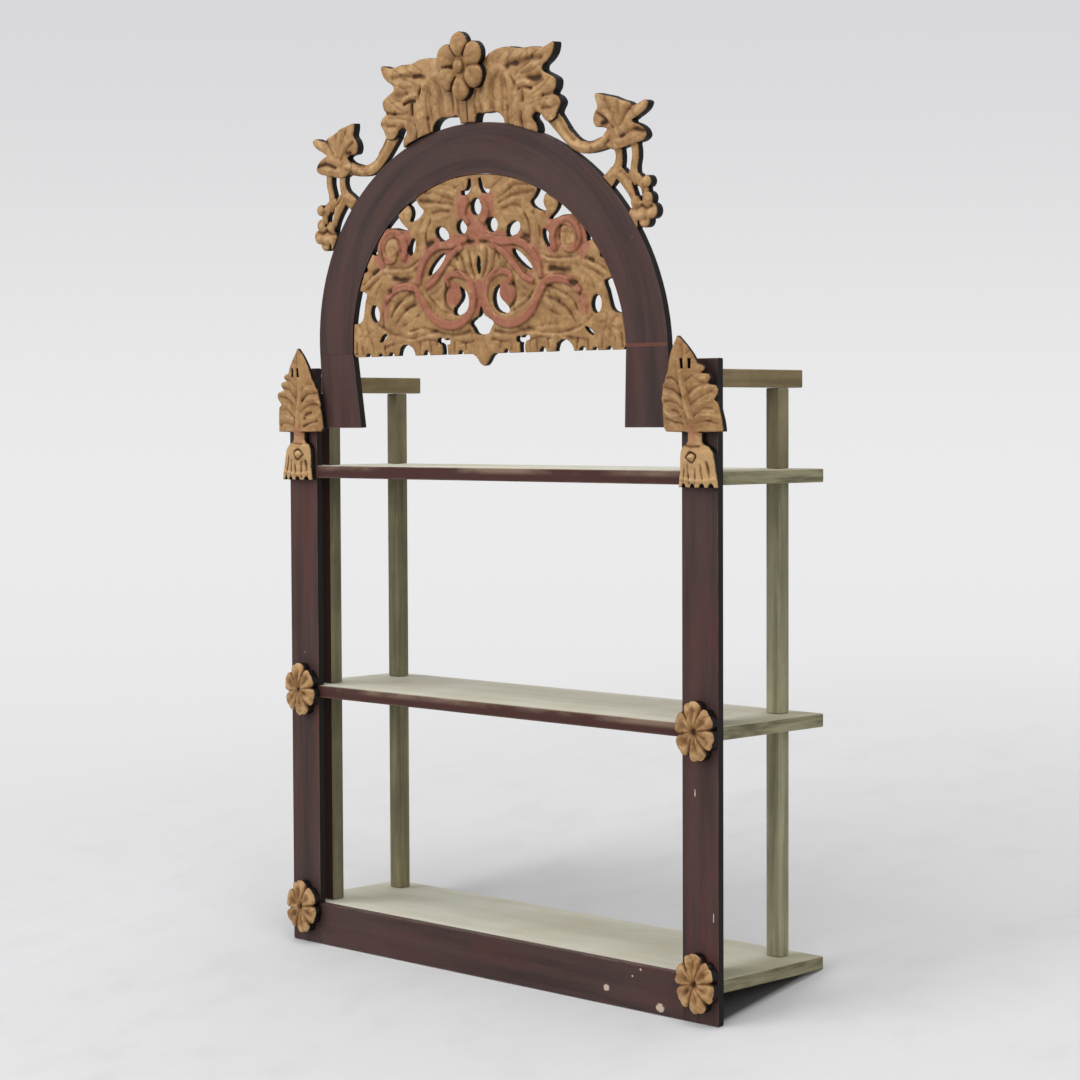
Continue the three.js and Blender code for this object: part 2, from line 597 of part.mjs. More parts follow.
function addPosts(group, material) {
  const rows = [["front", FACE_Y + POST_FROM_EDGE], ["rear", -POST_FROM_EDGE]];
  const levels = [
    ["lower", SHELF_TOPS[0], SHELF_TOPS[1] - SHELF_THICK],
    ["middle", SHELF_TOPS[1], SHELF_TOPS[2] - SHELF_THICK],
    ["upper", SHELF_TOPS[2], RAIL_TOP - RAIL_HEIGHT]];
  levels.forEach(([level, low, high]) => rows.forEach(([row, y]) => SIDES.forEach(([end, side]) => {
    place(group, `post_${level}_${row}_${end}`, post(side, y, low, high), material);
  })));
}

function addPairs(group, dark, green, gilt) {
  SIDES.forEach(([end, side]) => {
    place(group, `stile_${end}`, stile(side), dark);
    place(group, `side_rail_${end}`, rail(side), green);
    place(group, `arch_leg_${end}`, archLeg(side), dark);
    place(group, `crest_${end}`, crestHalf(side), gilt);
    place(group, `pendant_${end}`, pendant(side), gilt);
    place(group, `rosette_lower_${end}`, rosette(side, SHELF_TOPS[0]), gilt);
    place(group, `rosette_upper_${end}`, rosette(side, SHELF_TOPS[1]), gilt);
  });
}

// The origin lies on the wall plane, in the middle of the bottom shelf's rear edge.
const shelf = new THREE.Group();
shelf.name = "wall_shelf";
shelf.position.z = SHELF_THICK / 2 - BOTTOM_SHELF_TOP;
const dark = finish(COLOURS.dark, 0.55);
const green = finish(COLOURS.green, 0.75);
const pale = finish(COLOURS.pale, 0.75);
const gilt = finish(COLOURS.gilt, 0.6);
place(shelf, "shelf_bottom", bottomShelf(), pale);
place(shelf, "shelf_middle", notchedShelf(SHELF_TOPS[1]), pale);
place(shelf, "shelf_top", notchedShelf(SHELF_TOPS[2]), pale);
place(shelf, "apron", apron(), dark);
addPosts(shelf, green);
addPairs(shelf, dark, green, gilt);
place(shelf, "arch_ring", archRing(), dark);
place(shelf, "arch_panel", piercedPanel(), gilt);
place(shelf, "crest_flower", crestFlower(), gilt);

export default shelf;
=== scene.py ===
"""Looks of an old painted wall shelf with a pierced carved arch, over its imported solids."""

import logging
import math
from dataclasses import dataclass
from enum import Enum
from typing import Callable

import bpy
import numpy as np
from mathutils import Matrix, Vector, geometry


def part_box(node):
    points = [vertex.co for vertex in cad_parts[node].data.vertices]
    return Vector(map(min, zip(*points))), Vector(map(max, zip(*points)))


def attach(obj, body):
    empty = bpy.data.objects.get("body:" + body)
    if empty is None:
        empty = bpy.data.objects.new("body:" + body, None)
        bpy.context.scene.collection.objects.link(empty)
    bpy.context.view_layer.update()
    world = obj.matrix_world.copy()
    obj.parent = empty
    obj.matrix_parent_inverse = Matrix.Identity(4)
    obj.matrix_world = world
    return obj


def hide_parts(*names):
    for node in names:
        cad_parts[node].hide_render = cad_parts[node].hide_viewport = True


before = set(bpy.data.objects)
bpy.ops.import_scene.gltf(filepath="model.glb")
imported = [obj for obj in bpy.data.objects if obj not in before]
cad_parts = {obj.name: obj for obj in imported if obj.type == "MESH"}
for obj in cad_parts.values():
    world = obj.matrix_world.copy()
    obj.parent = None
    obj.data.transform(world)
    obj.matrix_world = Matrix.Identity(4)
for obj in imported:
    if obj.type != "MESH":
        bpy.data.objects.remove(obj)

RGB = tuple[float, float, float]
Place = tuple[float, float, float]
Stroke = tuple[float, float, tuple[tuple[float, float], ...]]
Socket = bpy.types.NodeSocket
Feed = Socket | float | tuple

log = logging.getLogger("wall_shelf")

MM = 0.001
FACE_PLANE = -0.151  # front of the face boards, in metres like the heights below
FACE_BOARD = 7.0  # thickness of the face boards in millimetres
ARCH_FOOT = 0.5089  # height of the line that the arch leans about
ARCH_LEAN = math.radians(3.8)
ARCH_SPRING = 0.5851  # height of the joints between legs and ring
SHELF_PITCH = 0.2315
SHELF_UNDER = -0.0064  # underside of the bottom shelf
BELL_FOOT, BELL_TOP = 0.41, 0.5  # of the gilt carvings only the bells lie between these heights
REACH = 14.0  # how far from an outline its distance is worked out, in millimetres
SHARP_TURN = math.radians(50.0)  # edges that turn by more than this stay sharp

# Chips: x, z, half width and half height in metres.
APRON_MARKS = ((0.1596, -0.021, 0.0034, 0.003), (0.2281, -0.0299, 0.005, 0.004),
               (0.1934, -0.0051, 0.0012, 0.001), (0.2037, 0.0025, 0.001, 0.001))
STILE_MARKS = ((0.2941, 0.063, 0.0006, 0.004), (0.2718, 0.1752, 0.0007, 0.003))


def tone(red: float, green: float, blue: float) -> tuple[float, float, float, float]:
    """Turns a colour written as 0 to 255 screen values into the linear values that shaders use.

    Args:
        red, green, blue: the screen values.

    Returns:
        Linear red, green, blue and alpha.
    """
    screen = np.array([red, green, blue]) / 255.0
    low, high = screen / 12.92, ((screen + 0.055) / 1.055) ** 2.4
    return (*np.where(screen <= 0.04045, low, high).tolist(), 1.0)


class Run(Enum):
    """The way the grain of a board runs, as how slowly a pattern changes along X, Y and Z."""

    ACROSS = (0.06, 1.0, 1.0)
    DEEP = (1.0, 0.06, 1.0)
    UPRIGHT = (1.0, 1.0, 0.06)


class Nodes:
    """Short calls that add nodes and links to one node tree."""

    def __init__(self, tree: bpy.types.NodeTree) -> None:
        """Keeps the tree."""
        self.tree = tree

    def feed(self, node: bpy.types.Node, sockets: dict[int | str, Feed]) -> None:
        """Links or sets a node's inputs.

        Args:
            node: the node.
            sockets: input name or number to a plain value or to the output that feeds it.
        """
        for key, value in sockets.items():
            if isinstance(value, bpy.types.NodeSocket):
                self.tree.links.new(value, node.inputs[key])
            else:
                node.inputs[key].default_value = value

    def add(self, kind: str, sockets: dict[int | str, Feed] | None = None,
            out: int | str = 0, **settings: object) -> Socket:
        """Adds one node.

        Args:
            kind: the node's type name after ShaderNode.
            sockets: as for feed.
            out: which output to give back.
            settings: the node's own settings.

        Returns:
            The chosen output.
        """
        node = self.tree.nodes.new("ShaderNode" + kind)
        for name, value in settings.items():
            setattr(node, name, value)
        self.feed(node, sockets or {})
        return node.outputs[out]

    def group(self, tree: bpy.types.NodeTree, **sockets: Feed) -> dict[str, Socket]:
        """Places a shared group.

        Args:
            tree: the group.
            sockets: its inputs by name.

        Returns:
            Its outputs by name.
        """
        node = self.tree.nodes.new("ShaderNodeGroup")
        node.node_tree = tree
        self.feed(node, sockets)
        return {o.name: o for o in node.outputs}

    def math(self, operation: str, a: Feed, b: Feed = 0.0, clamp: bool = False) -> Socket:
        """One Math node."""
        return self.add("Math", {0: a, 1: b}, operation=operation, use_clamp=clamp)

    def times(self, a: Feed, b: Feed) -> Socket:
        """The product of two values."""
        return self.math("MULTIPLY", a, b)

    def length(self, a: Feed, b: Feed) -> Socket:
        """The root of the sum of two squares."""
        squares = self.math("ADD", self.math("POWER", a, 2.0), self.math("POWER", b, 2.0))
        return self.math("SQRT", squares)

    def vector(self, operation: str, a: Feed, b: Feed, out: str = "Vector") -> Socket:
        """One Vector Math node."""
        return self.add("VectorMath", {0: a, 1: b}, out, operation=operation)

    def part(self, vector: Feed, axis: str) -> Socket:
        """The X, Y or Z of a vector."""
        return self.add("SeparateXYZ", {0: vector}, axis)

    def step(self, value: Feed, low: float, high: float) -> Socket:
        """Rises smoothly from 0 where value is low to 1 where it is high."""
        sockets = {"Value": value, "From Min": low, "From Max": high}
        return self.add("MapRange", sockets, interpolation_type="SMOOTHSTEP")

    def mix(self, share: Feed, under: Feed, over: Feed) -> Socket:
        """Lays one colour over another by a share."""
        return self.add("Mix", {0: share, 6: under, 7: over}, 2, data_type="RGBA")

    def lay(self, under: Feed, paint: RGB, share: Feed, strength: float = 1.0) -> Socket:
        """Lays a paint over a colour by a share, made weaker by the strength."""
        share = share if strength == 1.0 else self.times(share, strength)
        return self.mix(share, under, tone(*paint))

    def noise(self, vector: Feed, scale: Feed, detail: float = 4.0, rough: float = 0.55,
              bend: float = 0.0) -> Socket:
        """A noise texture's value."""
        sockets = {"Vector": vector, "Scale": scale, "Detail": detail, "Roughness": rough,
                   "Distortion": bend}
        return self.add("TexNoise", sockets, "Fac")


class Effects:
    """Shader node groups that several finishes share. Each is built once."""

    def __init__(self) -> None:
        """Builds all groups."""
        self.grain = self._group("wood grain", self._grain, ["Streaks", "Fibres"],
                                 Vector="Vector", Stretch="Vector", Scale="Float")
        self.wear = self._group("rubbed edges", self._wear, ["Mask"],
                                Vector="Vector", Radius="Float", Breaks="Float")
        self.chips = self._group("chips and scratches", self._chips, ["Mask"],
                                 Vector="Vector", Stretch="Vector", Scale="Float", Share="Float")
        self.coat = self._group("uneven coat", self._coat, ["Thin", "Grime"],
                                Vector="Vector", Scale="Float")

    @staticmethod
    def _group(name: str, fill: Callable, outputs: list[str], **inputs: str) -> bpy.types.NodeTree:
        """Makes one group.

        Args:
            name: the group's name.
            fill: the method that adds its nodes.
            outputs: names of its outputs, all plain values.
            inputs: kinds of its inputs by name.

        Returns:
            The node tree of the group.
        """
        tree = bpy.data.node_groups.new(name, "ShaderNodeTree")
        for label, kind in inputs.items():
            tree.interface.new_socket(label, in_out="INPUT", socket_type="NodeSocket" + kind)
        for label in outputs:
            tree.interface.new_socket(label, in_out="OUTPUT", socket_type="NodeSocketFloat")
        entry = tree.nodes.new("NodeGroupInput")
        leave = tree.nodes.new("NodeGroupOutput")
        for label, socket in zip(outputs, fill(Nodes(tree), entry.outputs)):
            tree.links.new(socket, leave.inputs[label])
        return tree

    @staticmethod
    def _grain(n: Nodes, given: bpy.types.NodeOutputs) -> tuple[Socket, ...]:
        """Noise drawn out along the board: broad streaks, and fibres seven times finer.

        Args:
            n: the group's node helper.
            given: the group's inputs.

        Returns:
            Streaks and fibres.
        """
        along = n.vector("MULTIPLY", given["Vector"], given["Stretch"])
        broad = n.noise(along, given["Scale"], 5.0, 0.6, 0.4)
        fine = n.noise(along, n.times(given["Scale"], 7.0), 3.0, 0.65)
        return n.step(broad, 0.34, 0.68), fine

    @staticmethod
    def _wear(n: Nodes, given: bpy.types.NodeOutputs) -> tuple[Socket, ...]:
        """Where the rounded normal turns away from the flat one, broken up by noise.

        Args:
            n: the group's node helper.
            given: the group's inputs.

        Returns:
            The mask.
        """
        rounded = n.add("Bevel", {"Radius": given["Radius"]}, samples=4)
        flat = n.add("NewGeometry", out="True Normal")
        turned = n.math("SUBTRACT", 1.0, n.vector("DOT_PRODUCT", rounded, flat, "Value"))
        patchy = n.noise(given["Vector"], given["Breaks"], 4.0, 0.6)
        return (n.times(n.step(turned, 0.012, 0.12), n.step(patchy, 0.36, 0.62)),)

    @staticmethod
    def _chips(n: Nodes, given: bpy.types.NodeOutputs) -> tuple[Socket, ...]:
        """Peaks of a stretched noise, gathered in places by a noise about four times slower.

        Args:
            n: the group's node helper.
            given: the group's inputs.

        Returns:
            The mask, which covers more as Share grows.
        """
        along = n.vector("MULTIPLY", given["Vector"], given["Stretch"])
        peaks = n.noise(along, given["Scale"], 2.0, 0.5)
        broken = n.noise(given["Vector"], n.times(given["Scale"], 0.23), 2.0)
        level = n.math("ADD", peaks, n.times(n.math("SUBTRACT", broken, 0.5), 0.5))
        edge = n.math("SUBTRACT", level, n.math("SUBTRACT", 0.86, given["Share"]))
        return (n.step(edge, 0.0, 0.03),)

    @staticmethod
    def _coat(n: Nodes, given: bpy.types.NodeOutputs) -> tuple[Socket, ...]:
        """Two slow noises, far apart in the same field.

        Args:
            n: the group's node helper.
            given: the group's inputs.

        Returns:
            Where the coat is thin, and where grime sits.
        """
        thin = n.noise(given["Vector"], given["Scale"], 5.0, 0.6, 0.3)
        elsewhere = n.vector("ADD", given["Vector"], (3.1, 1.7, 5.3))
        grime = n.noise(elsewhere, n.times(given["Scale"], 2.6), 6.0, 0.65)
        return n.step(thin, 0.35, 0.7), n.step(grime, 0.4, 0.75)


@dataclass(frozen=True)
class Finish:
    """What every finish has: a name, how dull it is, its gloss, and how its edges are rubbed."""

    name: str
    dull: float
    gloss: float = 0.2
    rub: float = 0.0014
    breaks: float = 60.0

    def start(self) -> tuple[bpy.types.Material, Nodes, bpy.types.Node]:
        """Makes the material with only its shader.

        Returns:
            The material, its node helper and its Principled shader.
        """
        material = bpy.data.materials.new(self.name)
        material.use_nodes = True
        shader = material.node_tree.nodes["Principled BSDF"]
        shader.inputs["Specular IOR Level"].default_value = self.gloss
        return material, Nodes(material.node_tree), shader

    def rubbed_edges(self, n: Nodes, effects: Effects, where: Socket) -> Socket:
        """The mask of this finish's rubbed edges."""
        return n.group(effects.wear, Vector=where, Radius=self.rub, Breaks=self.breaks)["Mask"]

    def close(self, n: Nodes, shader: bpy.types.Node, colour: Socket, rough: Socket,
              height: Socket, depth: float) -> None:
        """Feeds colour, roughness and a bump to the shader.

        Args:
            n: the material's node helper.
            shader: its Principled shader.
            colour, height: the sockets to use.
            rough: what adds to the finish's own dullness.
            depth: how deep the bump is, in metres.
        """
        bump = n.add("Bump", {"Height": height, "Distance": depth, "Strength": 1.0})
        rough = n.math("ADD", self.dull, rough)
        n.feed(shader, {"Base Color": colour, "Roughness": rough, "Normal": bump})


@dataclass(frozen=True)
class FramePaint(Finish):
    """Dark aubergine-brown paint over red, streaked along the board and rubbed at its edges."""

    dull: float = 0.42
    rub: float = 0.0016
    breaks: float = 45.0
    coat: RGB = (79, 58, 54)
    deep: RGB = (53, 41, 39)
    red: RGB = (95, 51, 46)
    seam: RGB = (130, 78, 62)
    rubbed: RGB = (140, 108, 90)
    side: RGB = (18, 13, 12)
    chip: RGB = (206, 184, 166)
    run: Run = Run.UPRIGHT
    curved: bool = False
    band_radius: float = 0.22
    marks: tuple[tuple[float, float, float, float], ...] = ()

    def _marks(self, n: Nodes, raw: Socket, axes: bpy.types.NodeOutputs) -> Socket:
        """Single chips: an oval's own distance plus noise, cut off between 1.4 and 1.7.

        Args:
            n: the material's node helper.
            raw: Object coordinates.
            axes: their parts.

        Returns:
            The mask of all chips.
        """
        ragged = n.times(n.noise(raw, 500.0, 2.0), 1.1)
        total = 0.0
        for x, z, wide, high in self.marks:
            across = n.math("DIVIDE", n.math("SUBTRACT", axes["X"], x), wide)
            upward = n.math("DIVIDE", n.math("SUBTRACT", axes["Z"], z), high)
            away = n.math("ADD", n.length(across, upward), ragged)
            total = n.math("MAXIMUM", total, n.step(away, 1.7, 1.4))
        return total

    def _place(self, n: Nodes, raw: Socket, axes: bpy.types.NodeOutputs) -> Socket:
        """Where the pattern is read.

        Args:
            n: the material's node helper.
            raw: Object coordinates.
            axes: their parts.

        Returns:
            Object coordinates, or on the curved band the length along it, the radius and Y.
        """
        if not self.curved:
            return raw
        rise = n.math("SUBTRACT", axes["Z"], ARCH_SPRING)
        along = n.times(n.math("ARCTAN2", rise, axes["X"]), self.band_radius)
        return n.add("CombineXYZ", {0: along, 1: n.length(axes["X"], rise), 2: axes["Y"]})

    def material(self, effects: Effects) -> bpy.types.Material:
        """Builds the material: coat, deep and red streaks, grime, rubbed edges, seam and chips.

        Args:
            effects: the shared node groups.

        Returns:
            The material.
        """
        mat, n, shader = self.start()
        raw = n.add("TexCoord", out="Object")
        axes = n.part(raw, "X").node.outputs
        where = self._place(n, raw, axes)
        off_joint = n.math("ABSOLUTE", n.math("SUBTRACT", axes["Z"], ARCH_SPRING))
        joint = n.step(off_joint, 0.004, 0.0008)
        seam = n.times(n.step(off_joint, 0.0022, 0.0006), n.step(axes["X"], -0.05, 0.05))
        stretch = self.run.value
        grain = n.group(effects.grain, Vector=where, Stretch=stretch, Scale=60.0)
        elsewhere = n.vector("ADD", where, (2.0, 1.0, 4.0))
        reds = n.group(effects.grain, Vector=elsewhere, Stretch=stretch, Scale=95.0)
        coat = n.group(effects.coat, Vector=where, Scale=6.0)
        chips = n.group(effects.chips, Vector=where, Stretch=(1, 1, 1), Scale=120.0, Share=0.06)
        wear = self.rubbed_edges(n, effects, where)
        colour = n.mix(grain["Streaks"], tone(*self.coat), tone(*self.deep))
        colour = n.lay(colour, self.red, n.times(reds["Streaks"], n.times(coat["Thin"], 0.7)))
        colour = n.lay(colour, self.deep, coat["Grime"], 0.25)
        edge = n.math("MULTIPLY", wear, n.math("SUBTRACT", 0.6, joint), clamp=True)
        colour = n.lay(colour, self.rubbed, edge)
        colour = n.lay(colour, self.seam, seam, 0.7)
        colour = n.lay(colour, self.rubbed, chips["Mask"], 0.6)
        if self.marks:
            colour = n.lay(colour, self.chip, self._marks(n, raw, axes))
        flat = n.add("NewGeometry", out="True Normal")
        aside = n.math("ABSOLUTE", n.part(flat, "X"))
        colour = n.lay(colour, self.side, n.step(aside, 0.35, 0.65))
        height = n.math("ADD", n.times(grain["Fibres"], 0.7), n.times(grain["Streaks"], 0.3))
        height = n.math("SUBTRACT", height, n.times(chips["Mask"], 0.8))
        self.close(n, shader, colour, n.times(grain["Fibres"], 0.22), height, 0.00025)
        return mat


@dataclass(frozen=True)
class ShelfPaint(Finish):
    """Pale grey-green tops, olive ends and undersides, and a dark front edge with a worn line."""

    dull: float = 0.55
    top: RGB = (218, 216, 200)
    top_thin: RGB = (202, 192, 168)
    side: RGB = (146, 141, 112)
    side_deep: RGB = (88, 84, 64)
    front: RGB = (72, 42, 38)
    bare: RGB = (150, 126, 108)
    rubbed: RGB = (176, 154, 122)
    darker_end: tuple[float, float] = (0.245, 0.285)

    def _top(self, n: Nodes, where: Socket, streaks: Socket, thin: Socket) -> Socket:
        """The upper face: thin in places, faintly streaked and darker towards its right end.

        Args:
            n: the material's node helper.
            where: Object coordinates.
            streaks: the grain's streaks.
            thin: where the coat is thin.

        Returns:
            Its colour.
        """
        top = n.mix(n.times(thin, 0.6), tone(*self.top), tone(*self.top_thin))
        top = n.lay(top, self.side, streaks, 0.18)
        return n.lay(top, self.side, n.step(n.part(where, "X"), *self.darker_end), 0.7)

    def _front(self, n: Nodes, where: Socket) -> Socket:
        """The front edge, bare in patches along the upper half of each shelf.

        Args:
            n: the material's node helper.
            where: Object coordinates.

        Returns:
            Its colour.
        """
        over_under = n.math("ADD", n.part(where, "Z"), -SHELF_UNDER)
        height = n.math("MODULO", over_under, SHELF_PITCH)
        patchy = n.noise(n.vector("MULTIPLY", where, (1.0, 1.0, 3.0)), 9.0, 4.0)
        bare = n.times(n.step(height, 0.0052, 0.0105), n.step(patchy, 0.4, 0.62))
        return n.lay(tone(*self.front), self.bare, bare, 0.75)

    def material(self, effects: Effects) -> bpy.types.Material:
        """Builds the material: the face's own colour by which way it looks, then wear.

        Args:
            effects: the shared node groups.

        Returns:
            The material.
        """
        mat, n, shader = self.start()
        where = n.add("TexCoord", out="Object")
        axes = n.part(n.add("NewGeometry", out="True Normal"), "X").node.outputs
        upward = n.step(axes["Z"], 0.5, 0.8)
        forward = n.step(n.times(axes["Y"], -1.0), 0.5, 0.8)
        grain = n.group(effects.grain, Vector=where, Stretch=Run.ACROSS.value, Scale=55.0)
        level = n.group(effects.grain, Vector=where, Stretch=(0.05, 0.1, 1.0), Scale=130.0)
        coat = n.group(effects.coat, Vector=where, Scale=9.0)
        chips = n.group(effects.chips, Vector=where, Stretch=(0.4, 1, 1), Scale=140.0, Share=0.05)
        side = n.mix(level["Streaks"], tone(*self.side), tone(*self.side_deep))
        colour = n.mix(upward, side, self._top(n, where, grain["Streaks"], coat["Thin"]))
        colour = n.mix(forward, colour, self._front(n, where))
        worn = n.math("SUBTRACT", 0.9, n.times(forward, 0.4))
        colour = n.lay(colour, self.rubbed, n.times(self.rubbed_edges(n, effects, where), worn))
        colour = n.lay(colour, self.side_deep, chips["Mask"], 0.35)
        self.close(n, shader, colour, n.times(grain["Fibres"], 0.2), grain["Fibres"], 0.0002)
        return mat


@dataclass(frozen=True)
class PostPaint(Finish):
    """Olive paint with dark streaks; on the front posts the front faces get a brown painted shade.
    """

    dull: float = 0.55
    breaks: float = 70.0
    coat: RGB = (128, 123, 94)
    pale: RGB = (152, 144, 110)
    deep: RGB = (76, 72, 54)
    # Painted shade for the front faces of the front posts, which stand behind the stiles.
    front: RGB = (66, 44, 38)
    rubbed: RGB = (168, 150, 114)
    run: Run = Run.UPRIGHT
    shaded_front: bool = False

    def material(self, effects: Effects) -> bpy.types.Material:
        """Builds the material: coat, streaks, rubbed edges, then the painted shade on the front
        face.

        Args:
            effects: the shared node groups.

        Returns:
            The material.
        """
        mat, n, shader = self.start()
        where = n.add("TexCoord", out="Object")
        grain = n.group(effects.grain, Vector=where, Stretch=self.run.value, Scale=90.0)
        coat = n.group(effects.coat, Vector=where, Scale=14.0)
        colour = n.mix(coat["Thin"], tone(*self.coat), tone(*self.pale))
        colour = n.lay(colour, self.deep, grain["Streaks"], 0.6)
        colour = n.lay(colour, self.rubbed, self.rubbed_edges(n, effects, where), 0.6)
        if self.shaded_front:
            # Painted shade: faces looking forward, behind the stiles, are darkened brown.
            ahead = n.times(n.part(n.add("NewGeometry", out="True Normal"), "Y"), -1.0)
            colour = n.lay(colour, self.front, n.step(ahead, 0.4, 0.6))
        self.close(n, shader, colour, n.times(grain["Fibres"], 0.2), grain["Fibres"], 0.0002)
        return mat


@dataclass(frozen=True)
class Gilding(Finish):
    """Dull gilding over ochre: pale ridges, dirty hollows, near black cut sides, bare wood behind.

    The bells of the pendants are made paler than the rest, and the rosettes darker. The carved
    pieces carry an attribute named relief: red is the terracotta share, green the hollow share
    and blue the ridge share.
    """

    dull: float = 0.45
    gilt: RGB = (175, 135, 88)
    pale: RGB = (216, 178, 128)
    glaze: RGB = (122, 83, 48)
    pit: RGB = (44, 26, 14)
    terracotta: RGB = (165, 101, 80)
    side: RGB = (14, 9, 7)
    wood: RGB = (112, 82, 56)
    wood_deep: RGB = (70, 48, 32)
    ahead: Place = (0.0, -1.0, 0.0)

    def _gilt(self, n: Nodes, where: Socket, thin: Socket, slow: Socket) -> Socket:
        """The gilding before its relief: glaze where thin, pale and dark clouds, bells, rosettes.

        Args:
            n: the material's node helper.
            where: Object coordinates.
            thin: where the coat is thin.
            slow: the noise of the clouds.

        Returns:
            Its colour.
        """
        colour = n.lay(tone(*self.gilt), self.glaze, thin, 0.4)
        colour = n.lay(colour, self.pale, n.step(slow, 0.52, 0.7), 0.45)
        colour = n.lay(colour, self.glaze, n.step(slow, 0.5, 0.3), 0.5)
        level = n.part(where, "Z")
        over_foot = n.step(level, BELL_FOOT - 0.01, BELL_FOOT + 0.01)
        bell = n.times(over_foot, n.step(level, BELL_TOP + 0.005, BELL_TOP - 0.005))
        colour = n.lay(colour, self.pale, bell, 0.5)
        rosettes = n.step(level, BELL_FOOT + 0.01, BELL_FOOT - 0.01)
        return n.lay(colour, self.glaze, rosettes, 0.16)

    def _back(self, n: Nodes, effects: Effects, where: Socket, grime: Socket) -> Socket:
        """The bare, grimy wood of the back.

        Args:
            n: the material's node helper.
            effects: the shared node groups.
            where: Object coordinates.
            grime: where grime sits.

        Returns:
            Its colour.
        """
        grain = n.group(effects.grain, Vector=where, Stretch=Run.UPRIGHT.value, Scale=70.0)
        bare = n.mix(grain["Streaks"], tone(*self.wood), tone(*self.wood_deep))
        return n.lay(bare, self.wood_deep, grime, 0.5)

    def material(self, effects: Effects) -> bpy.types.Material:
        """Builds the material from the relief attribute, slow noises and the facing of the cut.

        Args:
            effects: the shared node groups.

        Returns:
            The material.
        """
        mat, n, shader = self.start()
        where = n.add("TexCoord", out="Object")
        relief = n.add("Attribute", attribute_name="relief", out="Color")
        parts = n.add("SeparateColor", {0: relief}, "Red").node.outputs
        coat = n.group(effects.coat, Vector=where, Scale=26.0)
        fine = n.noise(where, 420.0, 3.0, 0.6)
        slow = n.noise(where, 90.0, 5.0, 0.65, 0.5)
        colour = self._gilt(n, where, coat["Thin"], slow)
        red = n.times(parts["Red"], n.step(slow, 0.2, 0.42))
        colour = n.lay(colour, self.terracotta, red, 0.92)
        ridge = n.times(parts["Blue"], n.step(slow, 0.3, 0.6))
        colour = n.lay(colour, self.pale, ridge, 0.55)
        uneven = n.times(n.math("SUBTRACT", slow, 0.5), 0.5)
        hollow = n.math("ADD", parts["Green"], uneven, clamp=True)
        colour = n.lay(colour, self.glaze, n.step(hollow, 0.1, 0.7), 0.85)
        colour = n.lay(colour, self.pit, n.step(hollow, 0.62, 1.05), 0.85)
        flat = n.add("NewGeometry", out="True Normal")
        facing = n.vector("DOT_PRODUCT", flat, self.ahead, "Value")
        colour = n.lay(colour, self.side, n.step(facing, 0.62, 0.28))
        back = self._back(n, effects, where, coat["Grime"])
        colour = n.mix(n.step(facing, -0.5, -0.8), colour, back)
        self.close(n, shader, colour, n.times(hollow, 0.25), n.math("ADD", fine, slow), 0.0004)
        return mat


@dataclass(frozen=True)
class Slope:
    """A plane with its own axes in millimetres: x to the right, h up it and d into the wall."""

    lean: float = 0.0
    y: float = FACE_PLANE
    z: float = 0.0

    def flatten(self, points: np.ndarray) -> np.ndarray:
        """Turns points back by the lean about the line at y and z.

        Args:
            points: frame points in metres.

        Returns:
            The same points as x, h and d.
        """
        back, up = points[..., 1] - self.y, points[..., 2] - self.z
        c, s = math.cos(self.lean), math.sin(self.lean)
        return np.stack([points[..., 0], up * c - back * s, back * c + up * s], -1) / MM

    def raise_up(self, points: np.ndarray) -> np.ndarray:
        """Turns points by the lean about the line at y and z.

        Args:
            points: points as x, h and d.

        Returns:
            The same points as frame points in metres.
        """
        x, h, d = (points[..., i] * MM for i in range(3))
        c, s = math.cos(self.lean), math.sin(self.lean)
        return np.stack([x, self.y + d * c - h * s, self.z + d * s + h * c], -1)

    def outward(self) -> Place:
        """The direction that the front of the plane faces."""
        return (0.0, -math.cos(self.lean), -math.sin(self.lean))


ARCH = Slope(ARCH_LEAN, FACE_PLANE, ARCH_FOOT)
UPRIGHT = Slope()


def smooth_line(points: tuple[tuple[float, float], ...], parts: int = 6) -> np.ndarray:
    """A curve through points: each stretch is the cubic with the neighbours' slopes.

    Args:
        points: the points it passes through.
        parts: pieces for each stretch.

    Returns:
        Points along the curve.
    """
    p = np.array(points, float)
    if len(p) == 2:
        return p
    p = np.vstack([2 * p[0] - p[1], p, 2 * p[-1] - p[-2]])
    t = np.linspace(0, 1, parts, endpoint=False)[:, None, None]
    a, b, c, d = p[:-3], p[1:-2], p[2:-1], p[3:]
    curve = 0.5 * (2 * b + (c - a) * t + (2 * a - 5 * b + 4 * c - d) * t ** 2
                   + (3 * b - a - 3 * c + d) * t ** 3)
    return np.vstack([curve.transpose(1, 0, 2).reshape(-1, 2), p[-2:-1]])


def from_segments(points: np.ndarray, starts: np.ndarray, ends: np.ndarray) -> np.ndarray:
    """Distance of each point to the nearest segment, by the foot of the point on each segment.

    Args:
        points: rows of x and h.
        starts, ends: the segments' ends.

    Returns:
        One distance for each point.
    """
    run = ends - starts
    rel = points[:, None] - starts
    t = np.clip((rel * run).sum(-1) / np.maximum((run * run).sum(-1), 1e-9), 0, 1)
    gap = rel - t[..., None] * run
    return np.sqrt((gap * gap).sum(-1)).min(1)


def nearest(grid: np.ndarray, starts: np.ndarray, ends: np.ndarray) -> np.ndarray:
    """Distance of each grid point to the nearest of many segments.

    Args:
        grid: shaped rows, columns, 2, with each row at one height.
        starts, ends: the segments' ends.

    Returns:
        Distances shaped like the grid, at most REACH.
    """
    away = np.full(grid.shape[:2], REACH)
    low = np.minimum(starts[:, 1], ends[:, 1]) - REACH
    high = np.maximum(starts[:, 1], ends[:, 1]) + REACH
    for row, line in enumerate(grid):
        near = (low <= line[0, 1]) & (high >= line[0, 1])
        if near.any():
            away[row] = np.minimum(from_segments(line, starts[near], ends[near]), REACH)
    return away


